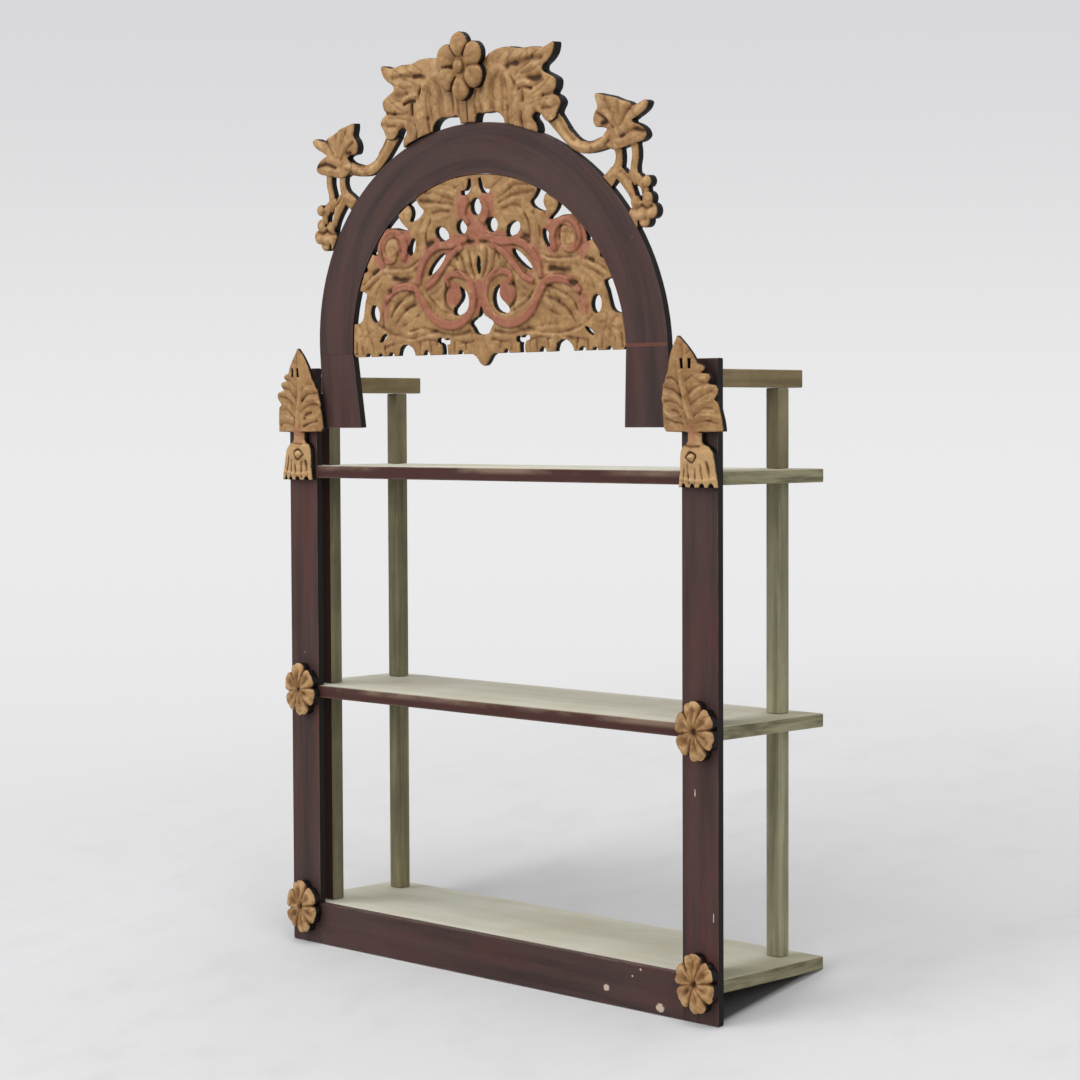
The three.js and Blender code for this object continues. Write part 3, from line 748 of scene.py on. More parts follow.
def line_distance(place: np.ndarray, curve: np.ndarray, reach: float) -> np.ndarray:
    """Distance of each point to a short curve, worked out only inside the curve's own box.

    Args:
        place: rows of x and h.
        curve: points along the curve.
        reach: how far the box stands off the curve.

    Returns:
        One distance for each point, a thousand outside the box.
    """
    away = np.full(len(place), 1e3)
    box = ((place >= curve.min(0) - reach) & (place <= curve.max(0) + reach)).all(-1)
    if box.any():
        away[box] = from_segments(place[box], curve[:-1], curve[1:])
    return away


def lattice_noise(x: np.ndarray, h: np.ndarray, size: float, seed: int) -> np.ndarray:
    """Smooth noise from -1 to 1: random values on a square lattice, eased between its points.

    Args:
        x, h: where.
        size: the lattice's pitch.
        seed: which lattice.

    Returns:
        The noise, shaped like x.
    """
    cells = 64
    table = np.random.default_rng(seed).uniform(-1, 1, (cells, cells))
    u, v = x / size, h / size
    i, j = np.floor(u).astype(int), np.floor(v).astype(int)
    fu, fv = u - i, v - j
    fu, fv = fu * fu * (3 - 2 * fu), fv * fv * (3 - 2 * fv)
    i0, j0, i1, j1 = i % cells, j % cells, (i + 1) % cells, (j + 1) % cells
    low = table[i0, j0] * (1 - fu) + table[i1, j0] * fu
    high = table[i0, j1] * (1 - fu) + table[i1, j1] * fu
    return low * (1 - fv) + high * fv


def hump(distance: np.ndarray, width: float) -> np.ndarray:
    """A bell curve: e to the minus square of the distance over the width."""
    return np.exp(-(distance / width) ** 2)


def finish_piece(name: str, points: np.ndarray, faces: list[list[int]],
                 material: bpy.types.Material, replaced: str | None,
                 relief: np.ndarray) -> bpy.types.Object:
    """Puts arrays into a mesh object that rides with the frame, with its sharp edges kept.

    Args:
        name: the piece's name.
        points: corners in metres.
        faces: lists of corner numbers.
        material: its material.
        replaced: the solid that it stands for, if any.
        relief: terracotta, hollow and ridge shares at each corner.

    Returns:
        The new object.
    """
    mesh = bpy.data.meshes.new(name)
    mesh.from_pydata(points.tolist(), [], faces)
    layer = mesh.attributes.new("relief", "FLOAT_COLOR", "POINT")
    layer.data.foreach_set("color", np.c_[relief, np.ones(len(relief))].astype(np.float32).ravel())
    mesh.materials.append(material)
    mesh.validate()
    mesh.shade_smooth()
    mesh.set_sharp_from_angle(angle=SHARP_TURN)
    piece = bpy.data.objects.new(name, mesh)
    bpy.context.scene.collection.objects.link(piece)
    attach(piece, "root")
    if replaced:
        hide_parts(replaced)
    log.info("%s: %d faces", name, len(mesh.polygons))
    return piece


class Cut:
    """Cuts a grid along the line where signed distances turn from positive to negative.

    Each square keeps the polygon of its positive corners and of the points where the line
    crosses its sides, so neighbouring squares share all their corners and no gap is left.
    """

    def __init__(self, signed: np.ndarray) -> None:
        """Numbers the kept grid points first and the crossings after them.

        Args:
            signed: distance to the line at each grid point, positive inside.
        """
        kept = signed > 0
        flat = np.arange(signed.size).reshape(signed.shape)
        self.inner = int(kept.sum())
        number = np.full(signed.shape, -1)
        number[kept] = np.arange(self.inner)
        self._from, self._to, self._share = [flat[kept]], [flat[kept]], [np.zeros(self.inner)]
        across = self._cross(signed[:, :-1], signed[:, 1:], flat[:, :-1], flat[:, 1:])
        upward = self._cross(signed[:-1], signed[1:], flat[:-1], flat[1:])
        spots = np.stack([number[:-1, :-1], across[:-1], number[:-1, 1:], upward[:, 1:],
                          number[1:, 1:], across[1:], number[1:, :-1], upward[:, :-1]], -1)
        spots = spots.reshape(-1, 8)
        pattern = (spots >= 0) @ (1 << np.arange(8))
        self.faces = [spots[pattern == k][:, (k >> np.arange(8)) & 1 == 1]
                      for k in np.unique(pattern) if bin(k).count("1") > 2]

    def _cross(self, a: np.ndarray, b: np.ndarray, first: np.ndarray,
               second: np.ndarray) -> np.ndarray:
        """Numbers the crossings between neighbours, and keeps them off the neighbours themselves.

        Args:
            a, b: signed distances of neighbouring grid points.
            first, second: the numbers of those grid points.

        Returns:
            The number of each crossing, -1 where there is none.
        """
        differ = (a > 0) != (b > 0)
        start = sum(len(part) for part in self._share)
        number = np.full(a.shape, -1)
        number[differ] = start + np.arange(differ.sum())
        self._from.append(first[differ])
        self._to.append(second[differ])
        self._share.append(np.clip(a[differ] / (a[differ] - b[differ]), 0.06, 0.94))
        return number

    def read(self, values: np.ndarray) -> np.ndarray:
        """Reads a grid of values at every corner.

        Args:
            values: one value or row for each grid point.

        Returns:
            The kept points' values, then a blend of two neighbours at each crossing.
        """
        flat = values.reshape(-1, *values.shape[2:])
        share = np.concatenate(self._share)
        share = share.reshape(-1, *([1] * (flat.ndim - 1)))
        start, end = np.concatenate(self._from), np.concatenate(self._to)
        return flat[start] * (1 - share) + flat[end] * share

    def rim(self) -> np.ndarray:
        """Finds the outline: edges between crossings that no face has the other way round.

        Returns:
            Pairs of corners along the cut, with the kept side on their left.
        """
        edges = np.vstack([np.stack([f, np.roll(f, -1, 1)], -1).reshape(-1, 2) for f in self.faces])
        edges = edges[(edges >= self.inner).all(1)]
        total = edges.max() + 1
        return edges[~np.isin(edges[:, 0] * total + edges[:, 1], edges[:, 1] * total + edges[:, 0])]


def solid_triangles(node: str, plane: Slope) -> np.ndarray:
    """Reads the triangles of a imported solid.

    Args:
        node: its name.
        plane: the plane whose axes are wanted.

    Returns:
        Triangles shaped count, 3, 3, as x, h and d.
    """
    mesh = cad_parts[node].data
    points = np.empty(len(mesh.vertices) * 3, np.float32)
    mesh.vertices.foreach_get("co", points)
    corners = np.empty(len(mesh.loops), np.int32)
    mesh.loops.foreach_get("vertex_index", corners)
    flat = plane.flatten(points.reshape(-1, 3).astype(float))
    return flat[corners].reshape(-1, 3, 3)


def left_of(a: np.ndarray, b: np.ndarray, p: np.ndarray) -> np.ndarray:
    """Twice the area of the triangle a, b, p: positive where p is to the left of a to b."""
    return ((b[..., 0] - a[..., 0]) * (p[..., 1] - a[..., 1])
            - (b[..., 1] - a[..., 1]) * (p[..., 0] - a[..., 0]))


def shares(tri: np.ndarray, points: np.ndarray) -> list[np.ndarray]:
    """How much of each triangle lies across from each of its corners, as seen by each point.

    Args:
        tri: triangles.
        points: rows of x and h.

    Returns:
        For each corner an array of points by triangles; all three are positive inside.
    """
    p = points[:, None]
    return [left_of(tri[:, (k + 1) % 3], tri[:, (k + 2) % 3], p) for k in range(3)]


def sample(tri: np.ndarray, grid: np.ndarray) -> np.ndarray:
    """Depth under each grid point, from the triangle that holds the point.

    Args:
        tri: triangles that face the viewer.
        grid: shaped rows, columns, 2, with each row at one height.

    Returns:
        The least depth, or nan where there is nothing.
    """
    depth = np.full(grid.shape[:2], np.nan)
    low, high = tri[..., 1].min(1), tri[..., 1].max(1)
    for row, line in enumerate(grid):
        t = tri[(low <= line[0, 1] + 1e-3) & (high >= line[0, 1] - 1e-3)]
        if len(t):
            parts = shares(t, line)
            total = sum(parts)
            within = np.minimum(np.minimum(parts[0], parts[1]), parts[2]) >= -1e-4 * total
            value = sum(parts[k] * t[:, k, 2] for k in range(3)) / total
            best = np.where(within, value, np.inf).min(1)
            depth[row] = np.where(np.isfinite(best), best, np.nan)
    return depth


def edges_once(tri: np.ndarray) -> tuple[np.ndarray, np.ndarray]:
    """Finds the edges that only one of the triangles has.

    Args:
        tri: triangles.

    Returns:
        The edges' starts and ends as x and h.
    """
    flat = np.round(tri[..., :2].reshape(-1, 2), 3)
    points, index = np.unique(flat, axis=0, return_inverse=True)
    index = index.reshape(-1, 3)
    pairs = np.vstack([index[:, [0, 1]], index[:, [1, 2]], index[:, [2, 0]]])
    pairs = pairs[pairs[:, 0] != pairs[:, 1]]
    ordered, counts = np.unique(np.sort(pairs, 1), axis=0, return_counts=True)
    single = ordered[counts == 1]
    return points[single[:, 0]], points[single[:, 1]]


def outline(tri: np.ndarray) -> tuple[np.ndarray, np.ndarray]:
    """Finds the outline: edges used once that have the carving on one side only.

    Args:
        tri: triangles of the front.

    Returns:
        The edges' starts and ends as x and h.
    """
    starts, ends = edges_once(tri)
    run = ends - starts
    length = np.maximum(np.linalg.norm(run, axis=1, keepdims=True), 1e-9)
    side = np.stack([-run[:, 1], run[:, 0]], 1) / length * 0.15
    middle = (starts + ends) / 2
    held = [(np.minimum.reduce(shares(tri, spots)) >= -1e-6).any(1)
            for spots in (middle + side, middle - side)]
    rim = held[0] != held[1]
    return starts[rim], ends[rim]


def fill(depth: np.ndarray) -> np.ndarray:
    """Carries a depth three cells past the outline, by the mean of known neighbours.

    Args:
        depth: a grid with nan outside.

    Returns:
        The grid with no nan: 0 beyond the three cells.
    """
    for _ in range(3):
        known = ~np.isnan(depth)
        padded = np.pad(np.where(known, depth, 0.0), 1)
        weight = np.pad(known.astype(float), 1)
        total, count = np.zeros_like(depth), np.zeros_like(depth)
        for i in range(3):
            for j in range(3):
                window = (slice(i, i + depth.shape[0]), slice(j, j + depth.shape[1]))
                total += padded[window]
                count += weight[window]
        mean = total / np.maximum(count, 1)
        depth = np.where(known, depth, np.where(count > 0, mean, np.nan))
    return np.nan_to_num(depth, nan=0.0)


def soften(depth: np.ndarray) -> np.ndarray:
    """Blurs a depth by one cell, so that steps between levels become slopes.

    Args:
        depth: a grid.

    Returns:
        Each value blended 1, 2, 1 with its neighbours along rows and columns.
    """
    padded = np.pad(depth, 1, mode="edge")
    rows = (padded[:-2] + 2 * padded[1:-1] + padded[2:]) / 4
    return (rows[:, :-2] + 2 * rows[:, 1:-1] + rows[:, 2:]) / 4


def back_triangles(points: np.ndarray, rim: np.ndarray) -> np.ndarray:
    """Fills an outline with large triangles.

    A triangle that runs along the outline is inside if it runs the same way. All others take
    after a neighbour that isn't across the outline.

    Args:
        points: corners of the outline, x and h.
        rim: pairs of corner numbers with the carving on their left.

    Returns:
        Triangles as corner numbers, turned to face the back.
    """
    given = [Vector(p) for p in points.tolist()]
    _, _, tris, origins, _, _ = geometry.delaunay_2d_cdt(given, rim.tolist(), [], 0, 1e-7)
    tris = np.array([o[0] for o in origins])[np.array(tris)]
    ends = np.roll(tris, -1, 1)
    ahead, behind = tris * len(points) + ends, ends * len(points) + tris
    line = rim[:, 0] * len(points) + rim[:, 1]
    with_line, against = np.isin(ahead, line), np.isin(behind, line)
    order = np.argsort(ahead.ravel())
    spot = np.searchsorted(ahead.ravel()[order], behind).clip(0, ahead.size - 1)
    found = order[spot]
    open_side = (ahead.ravel()[found] == behind) & ~with_line & ~against
    beside = found // 3
    label = with_line.any(1).astype(int) - against.any(1).astype(int)
    while True:
        told = np.where(open_side, label[beside], 0).sum(1)
        fresh = (label == 0) & (told != 0)
        if not fresh.any():
            return tris[label > 0][:, ::-1]
        label[fresh] = np.sign(told[fresh])


@dataclass(frozen=True)
class CarvedBoard:
    """A pierced carving: its outline comes from the solid, its relief from strokes of a gouge.

    Strokes and washes are given as strength, width and a line of x and h in millimetres. A
    stroke's strength is its height, less than nothing for a groove; a wash paints terracotta.
    """

    node: str
    slot: str
    plane: Slope
    cell: float
    edge: float = 2.0
    swell: float = 0.8
    swell_width: float = 7.0
    blurs: int = 1
    strokes: tuple[Stroke, ...] = ()
    washes: tuple[Stroke, ...] = ()
    painted_level: float | None = None
    chisel: float = 0.15
    crevice: float = 0.35

    def build(self, material: bpy.types.Material) -> bpy.types.Object:
        """Works out the relief on a square grid and closes it with walls and a back.

        Args:
            material: its finish.

        Returns:
            The new piece.
        """
        tri = solid_triangles(self.node, self.plane)
        area = left_of(tri[:, 0], tri[:, 1], tri[:, 2]) / 2
        front, rear = tri[area > 1e-4], tri[area < -1e-4][:, ::-1]
        grid = self._grid(tri)
        depth = sample(front, grid)
        away = nearest(grid, *outline(front))
        signed = np.where(np.isnan(depth), -1.0, 1.0) * np.maximum(away, 0.01)
        cut = Cut(signed)
        behind = cut.read(fill(sample(rear, grid)))
        depth = fill(depth)
        for _ in range(self.blurs):
            depth = soften(depth)
        gap = cut.read(np.maximum(signed, 0.0))
        gap[cut.inner:] = 0.0
        spot = cut.read(grid)
        red = cut.read(self._painted(front, grid))
        carved, relief = self._carve(spot, gap, cut.read(depth), red)
        skin = np.c_[spot, np.minimum(carved, behind - 1.0)]
        return self._close(cut, skin, behind, relief, material)

    def _grid(self, tri: np.ndarray) -> np.ndarray:
        """Lays a square grid over the solid, two cells wider than it is.

        Args:
            tri: the solid's triangles.

        Returns:
            x and h of each grid point.
        """
        lo, hi = tri[..., :2].min((0, 1)), tri[..., :2].max((0, 1))
        start = np.floor(lo / self.cell) * self.cell - 2 * self.cell
        count = np.ceil((hi - start) / self.cell).astype(int) + 3
        xs, hs = (start[i] + np.arange(count[i]) * self.cell for i in (0, 1))
        return np.stack(np.meshgrid(xs, hs), -1)

    def _painted(self, tri: np.ndarray, grid: np.ndarray) -> np.ndarray:
        """Finds the painted scrolls, which are the solid's faces at one depth.

        Args:
            tri: triangles of the front.
            grid: x and h of each grid point.

        Returns:
            How far inside the scrolls each grid point is, negative outside them.
        """
        if self.painted_level is None:
            return np.full(grid.shape[:2], -REACH)
        part = tri[np.abs(tri[..., 2].mean(1) - self.painted_level) < 0.05]
        away = nearest(grid, *edges_once(part))
        return np.where(np.isnan(sample(part, grid)), -away, away)

    def _gouged(self, bent: np.ndarray, uneven: np.ndarray) -> np.ndarray:
        """Adds up the strokes: height times a bell curve of the distance from the line.

        A shallow stroke is made softer: a little lower, and wider.

        Args:
            bent: x and h of each corner, x taken as positive, moved a little by noise.
            uneven: what each corner's strokes are multiplied by.

        Returns:
            The height of each corner over the plain front.
        """
        total = np.zeros(len(bent))
        for height, width, line in self.strokes:
            soft = min(1.0, abs(height) / 1.2)
            away = line_distance(bent, smooth_line(line), width * 3.0)
            total += height * soft ** 0.5 * uneven * hump(away, (1.5 - 0.3 * soft) * width)
        return total

    def _washed(self, place: np.ndarray, red: np.ndarray) -> np.ndarray:
        """Adds up the terracotta: the painted scrolls, then each wash.

        Args:
            place: x and h of each corner, x taken as positive.
            red: how far inside the scrolls each corner is.

        Returns:
            The terracotta share of each corner, not yet held to 0 and 1.
        """
        wash = np.clip(red / 0.8 + 0.5, 0, 1)
        for strength, width, line in self.washes:
            away = line_distance(place, smooth_line(line), width * 1.3)
            wash += strength * np.clip((1.25 - away / width) / 0.4, 0, 1)
        return wash

    def _carve(self, spot: np.ndarray, gap: np.ndarray, depth: np.ndarray,
               red: np.ndarray) -> tuple[np.ndarray, np.ndarray]:
        """Works out the front: rounded at the edge, swelling inwards, then cut by each stroke.

        Within `edge` of the outline the front falls back along a quarter circle. Further in it
        swells by `swell` times 1 - exp(-gap / swell_width). Strokes are bent and uneven, as by
        hand. Crevices lie where a slow noise passes zero, and chisel marks are three noises.

        Args:
            spot: x and h of each corner.
            gap: its distance from the outline.
            depth: the solid's depth there.
            red: how far inside the painted scrolls it is.

        Returns:
            The new depth, and terracotta, hollow and ridge shares.
        """
        x, h = spot.T
        share = np.clip(gap / self.edge, 0, 1)
        fall = self.edge * (1 - np.sqrt(np.maximum(1 - (1 - share) ** 2, 0)))
        front = depth + fall * 0.8 - self.swell * (1 - np.exp(-gap / self.swell_width))
        bend = [1.5 * lattice_noise(x, h, 17.0, seed) + 0.35 * lattice_noise(x, h, 6.0, seed + 1)
                for seed in (21, 31)]
        place = np.stack([np.abs(x), h], -1)
        uneven = 0.95 + 0.5 * lattice_noise(x, h, 11.0, 41)
        cut = self._gouged(place + np.stack(bend, -1), uneven)
        crease = np.abs(lattice_noise(x + 2 * bend[0], h + 2 * bend[1], 11.0, 51))
        cut += self.crevice * (np.minimum(crease / 0.35, 1.0) - 1.0)
        wash = self._washed(place, red)
        grainy = (1.2 * lattice_noise(x, h, 7.0, 9) + lattice_noise(x, h, 3.6, 7)
                  + 0.4 * lattice_noise(x, h, 1.9, 8)) * self.chisel
        front -= (cut + grainy) * np.clip(gap / 2.5, 0, 1)
        hollow = np.clip(-cut / 1.5, 0, 1) + 0.3 * np.clip(1 - gap / 1.4, 0, 1)
        hollow += 0.22 * np.clip(-grainy / (2 * self.chisel), 0, 1)
        hollow += 0.45 * hump(red + 0.5, 1.0) * (red > 1 - REACH)
        ridge = np.clip(cut, 0, 1) * 0.8 + 0.4 * np.clip(grainy / (1.6 * self.chisel), 0, 1)
        return front, np.clip(np.stack([wash, hollow, ridge], -1), 0, 1)

    def _close(self, cut: Cut, skin: np.ndarray, behind: np.ndarray, relief: np.ndarray,
               material: bpy.types.Material) -> bpy.types.Object:
        """Joins the skin to its back by a wall along every cut, inside the solid's box.

        Args:
            cut: the cut grid.
            skin: x, h and d of each corner of the front.
            behind: depth of the back at each of them.
            relief: shares at each of them.
            material: the finish.

        Returns:
            The new piece.
        """
        total, rim = len(skin), cut.rim()
        rear = np.c_[skin[cut.inner:, :2], behind[cut.inner:]]
        points = np.clip(self.plane.raise_up(np.vstack([skin, rear])), *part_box(self.node))
        all_shares = np.vstack([relief, np.zeros((len(rear), 3))])
        low = rim - cut.inner
        walls = np.c_[rim[:, 1], rim[:, 0], low[:, 0] + total, low[:, 1] + total]
        back = back_triangles(rear[:, :2], low) + total
        faces = [row for part in (*cut.faces, walls, back) for row in part.tolist()]
        return finish_piece(self.node + "_carving", points, faces, material, self.node,
                            all_shares)


@dataclass(frozen=True)
class Rosette:
    """A carved flower of cupped petals, worked out on a grid of angles and radii.

    Round the flower, `across` runs from 0 in the middle of a petal to 1 in the gap beside it. The
    rim stands nearer by `notch` times the fourth power of across. The height is a dome, less a
    groove in each gap, a cup in each petal, a pit in the middle and chisel marks. Petals differ a
    little in length, and each has a nick in its tip and a cup that leans to one side.
    """

    node: str
    gaps: tuple[float, ...] = (8.0, 68.0, 129.0, 190.0, 251.0, 311.0)
    notch: float = 0.21
    groove: float = 2.2
    cup: float = 2.2
    pit: float = 3.0
    steps: int = 180
    rings: int = 31

    def build(self, material: bpy.types.Material) -> bpy.types.Object:
        """Builds rings of corners from the middle to the rim, a wall and a back.

        Args:
            material: its finish.

        Returns:
            The new piece.
        """
        solid = solid_triangles(self.node, UPRIGHT)
        low, high = solid.min((0, 1)), solid.max((0, 1))
        centre, half = (low + high)[:2] / 2, (high - low)[:2] / 2
        around = np.linspace(0, 360, self.steps, endpoint=False)
        gaps = np.array([*self.gaps, self.gaps[0] + 360.0])
        turned = (around - gaps[0]) % 360 + gaps[0]
        petal = np.searchsorted(gaps, turned, side="right") - 1
        share = (turned - gaps[petal]) / (gaps[petal + 1] - gaps[petal])
        across = np.abs(2 * share - 1)
        reach = 1 - 0.035 * np.cos(2.6 * petal) - self.notch * across ** 4
        reach = reach - 0.04 * hump(share - 0.55 - 0.1 * np.sin(petal), 0.07)
        s = np.linspace(0, 1, self.rings + 1)[1:, None]
        thick = high[2] - low[2]
        height = thick * (0.5 + 0.5 * np.sqrt(np.clip(1 - (s * 0.96) ** 4, 0, 1)))
        height = height - self.groove * hump(1 - across, 0.17) * s ** 0.5
        cup = hump(across - 0.12 * np.sin(petal), 0.42) * hump(s - 0.52, 0.3)
        height = height - self.cup * cup - self.pit * hump(s, 0.17)
        angle = np.radians(around)
        x = centre[0] + half[0] * s * reach * np.cos(angle)
        h = centre[1] + half[1] * s * reach * np.sin(angle)
        grainy = 0.7 * lattice_noise(x, h, 6.0, 12) + 0.45 * lattice_noise(x, h, 2.8, 11)
        height = height - grainy
        skin = np.stack([x, h, high[2] - np.clip(height, 1.0, thick)], -1).reshape(-1, 3)
        hub = [[*centre, high[2] - thick + self.pit], [*centre, high[2]]]
        wall = np.c_[x[-1], h[-1], np.full(self.steps, high[2])]
        points = UPRIGHT.raise_up(np.vstack([skin, wall, hub]))
        hollow = (0.8 * hump(1 - across, 0.17) * s + 0.6 * cup + hump(s, 0.15)
                  + 0.5 * np.clip(grainy, 0, 1))
        ridge = hump(s - 0.84, 0.18) * (1 - across ** 3) + np.clip(-grainy, 0, 1)
        relief = np.zeros((len(points), 3))
        relief[: len(skin), 1:] = np.clip(np.stack([hollow, ridge], -1).reshape(-1, 2), 0, 1)
        relief[-2, 1] = 1.0
        return finish_piece(self.node + "_carving", points, self._faces(), material,
                            self.node, relief)

    def _faces(self) -> list[list[int]]:
        """Joins the rings, which are numbered outwards, then the middle and the back.

        Returns:
            Faces of the skin and wall, the middle and the back.
        """
        count, last = self.steps, self.rings * self.steps
        k = np.arange(count)
        after, hub = (k + 1) % count, last + count
        i = (np.arange(self.rings) * count)[:, None]
        skin = np.stack([i + k, i + count + k, i + count + after, i + after], -1).reshape(-1, 4)
        middle = np.c_[np.full(count, hub), k, after]
        back = np.c_[np.full(count, hub + 1), last + after, last + k]
        return skin.tolist() + middle.tolist() + back.tolist()


@dataclass(frozen=True)
class JointFilm:
    """Old glue and paint in the joint between a leg of the arch and the ring.

    A closed loop runs round the joint's rectangle, drawn in by `shy` and by an uneven wave, and is
    carried up from the lower to the upper face of the joint.
    """

    leg: str
    shy: float = 0.3
    steps: int = 160
    levels: tuple[float, float] = (0.02, 0.28)

    def build(self, material: bpy.types.Material) -> bpy.types.Object:
        """Builds the loop at both faces, closed with a hub above and below.

        Args:
            material: the paint of the band.

        Returns:
            The new piece.
        """
        low, high = (np.array(corner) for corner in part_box(self.leg))
        flat = ARCH.flatten(np.array([low, high]))
        top = float(solid_triangles(self.leg, ARCH)[..., 1].max())
        count = self.steps
        t = np.arange(count) / count * 4
        side, along = np.floor(t).astype(int), t % 1
        ring_x = np.choose(side, [along, np.ones(count), 1 - along, np.zeros(count)])
        ring_d = np.choose(side, [np.zeros(count), along, np.ones(count), 1 - along])
        draw = self.shy * (1.2 + 0.5 * np.sin(t * 9.0) + 0.3 * np.sin(t * 23.0))
        x0, x1 = flat[0, 0], flat[1, 0]
        x = np.clip(x0 + ring_x * (x1 - x0), x0 + draw, x1 - draw)
        d = np.clip(ring_d * FACE_BOARD, draw, FACE_BOARD - draw)
        rings = [np.c_[x, np.full(count, top + up), d] for up in self.levels]
        hubs = [[(x0 + x1) / 2, top + up, FACE_BOARD / 2] for up in self.levels]
        points = ARCH.raise_up(np.vstack([*rings, hubs]))
        k = np.arange(count)
        after, hub = (k + 1) % count, 2 * count
        walls = np.c_[k, after, after + count, k + count]
        under = np.c_[np.full(count, hub), after, k]
        over = np.c_[np.full(count, hub + 1), k + count, after + count]
        faces = walls.tolist() + under.tolist() + over.tolist()
        return finish_piece(self.leg.replace("leg", "joint"), points, faces, material,
                            None, np.zeros((len(points), 3)))


class BoardPaint(Enum):
    """The paints of the boards, posts and rails; the post paints are copies with painted light and
    shade.
    """

    UPRIGHT = FramePaint("dark paint upright", marks=STILE_MARKS)
    ACROSS = FramePaint("dark paint across", run=Run.ACROSS, marks=APRON_MARKS)
    BAND = FramePaint("dark paint round the arch", run=Run.ACROSS, curved=True)
    SHELF = ShelfPaint("shelf paint")
    POST = PostPaint("olive paint")
    PAINTED_LIGHT_RIGHT = PostPaint("faded olive paint", coat=(150, 146, 118), pale=(170, 164, 134))
    PAINTED_SHADE_UPPER = PostPaint("olive paint with painted shade high up", coat=(116, 107, 82), pale=(138, 127, 98))
    PAINTED_SHADE_FRONT = PostPaint("olive paint with painted shade behind the stiles", coat=(112, 107, 82), pale=(134, 126, 98),
                      shaded_front=True)
    RAIL = PostPaint("olive rail paint", coat=(122, 108, 78), pale=(146, 128, 94),
                     deep=(84, 72, 50), run=Run.DEEP)


@dataclass(frozen=True)
class PaintedBoards:
    """The boards, posts and rails, which keep the solids' shapes and get old paint."""

    starts: tuple[tuple[str, BoardPaint], ...] = (
        ("side_rail", BoardPaint.RAIL), ("shelf", BoardPaint.SHELF), ("apron", BoardPaint.ACROSS),
        ("arch_ring", BoardPaint.BAND), ("arch_leg", BoardPaint.UPRIGHT),
        ("stile", BoardPaint.UPRIGHT))

    def _choice(self, name: str) -> BoardPaint | None:
        """Which paint a solid gets.

        Args:
            name: the solid's name.

        Returns:
            Its paint, or nothing for a carving.
        """
        # Painted light on the lower right rear posts; painted shade on the upper rear posts and the
        # front posts.
        if name.startswith("post"):
            lower = BoardPaint.PAINTED_LIGHT_RIGHT if name.endswith("right") else BoardPaint.POST
            rear = BoardPaint.PAINTED_SHADE_UPPER if "upper" in name else lower
            return BoardPaint.PAINTED_SHADE_FRONT if "_front_" in name else rear
        return next((paint for start, paint in self.starts if name.startswith(start)), None)

    def dress(self, effects: Effects) -> None:
        """Gives every kept solid its paint, and closes the two joints of the arch.

        Args:
            effects: the shared node groups.
        """
        made = {paint: paint.value.material(effects) for paint in BoardPaint}
        for name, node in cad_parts.items():
            choice = self._choice(name)
            if choice:
                node.material_slots[0].material = made[choice]
                log.info("%s: %s", name, made[choice].name)
        for side in ("left", "right"):
            JointFilm(f"arch_leg_{side}").build(made[BoardPaint.BAND])


@dataclass(frozen=True)
class Lamp:
    """A large square soft lamp, in metres and watts."""

    name: str
    spot: Place
    aim: Place
    size: float
    power: float

    def build(self) -> None:
        """Places the lamp and turns it to its aim."""
        data = bpy.data.lights.new(self.name, "AREA")
        data.size, data.energy = self.size, self.power
        lamp = bpy.data.objects.new(self.name, data)
        turn = (Vector(self.aim) - Vector(self.spot)).to_track_quat("-Z", "Y")
        lamp.matrix_world = Matrix.Translation(self.spot) @ turn.to_matrix().to_4x4()
        bpy.context.scene.collection.objects.link(lamp)


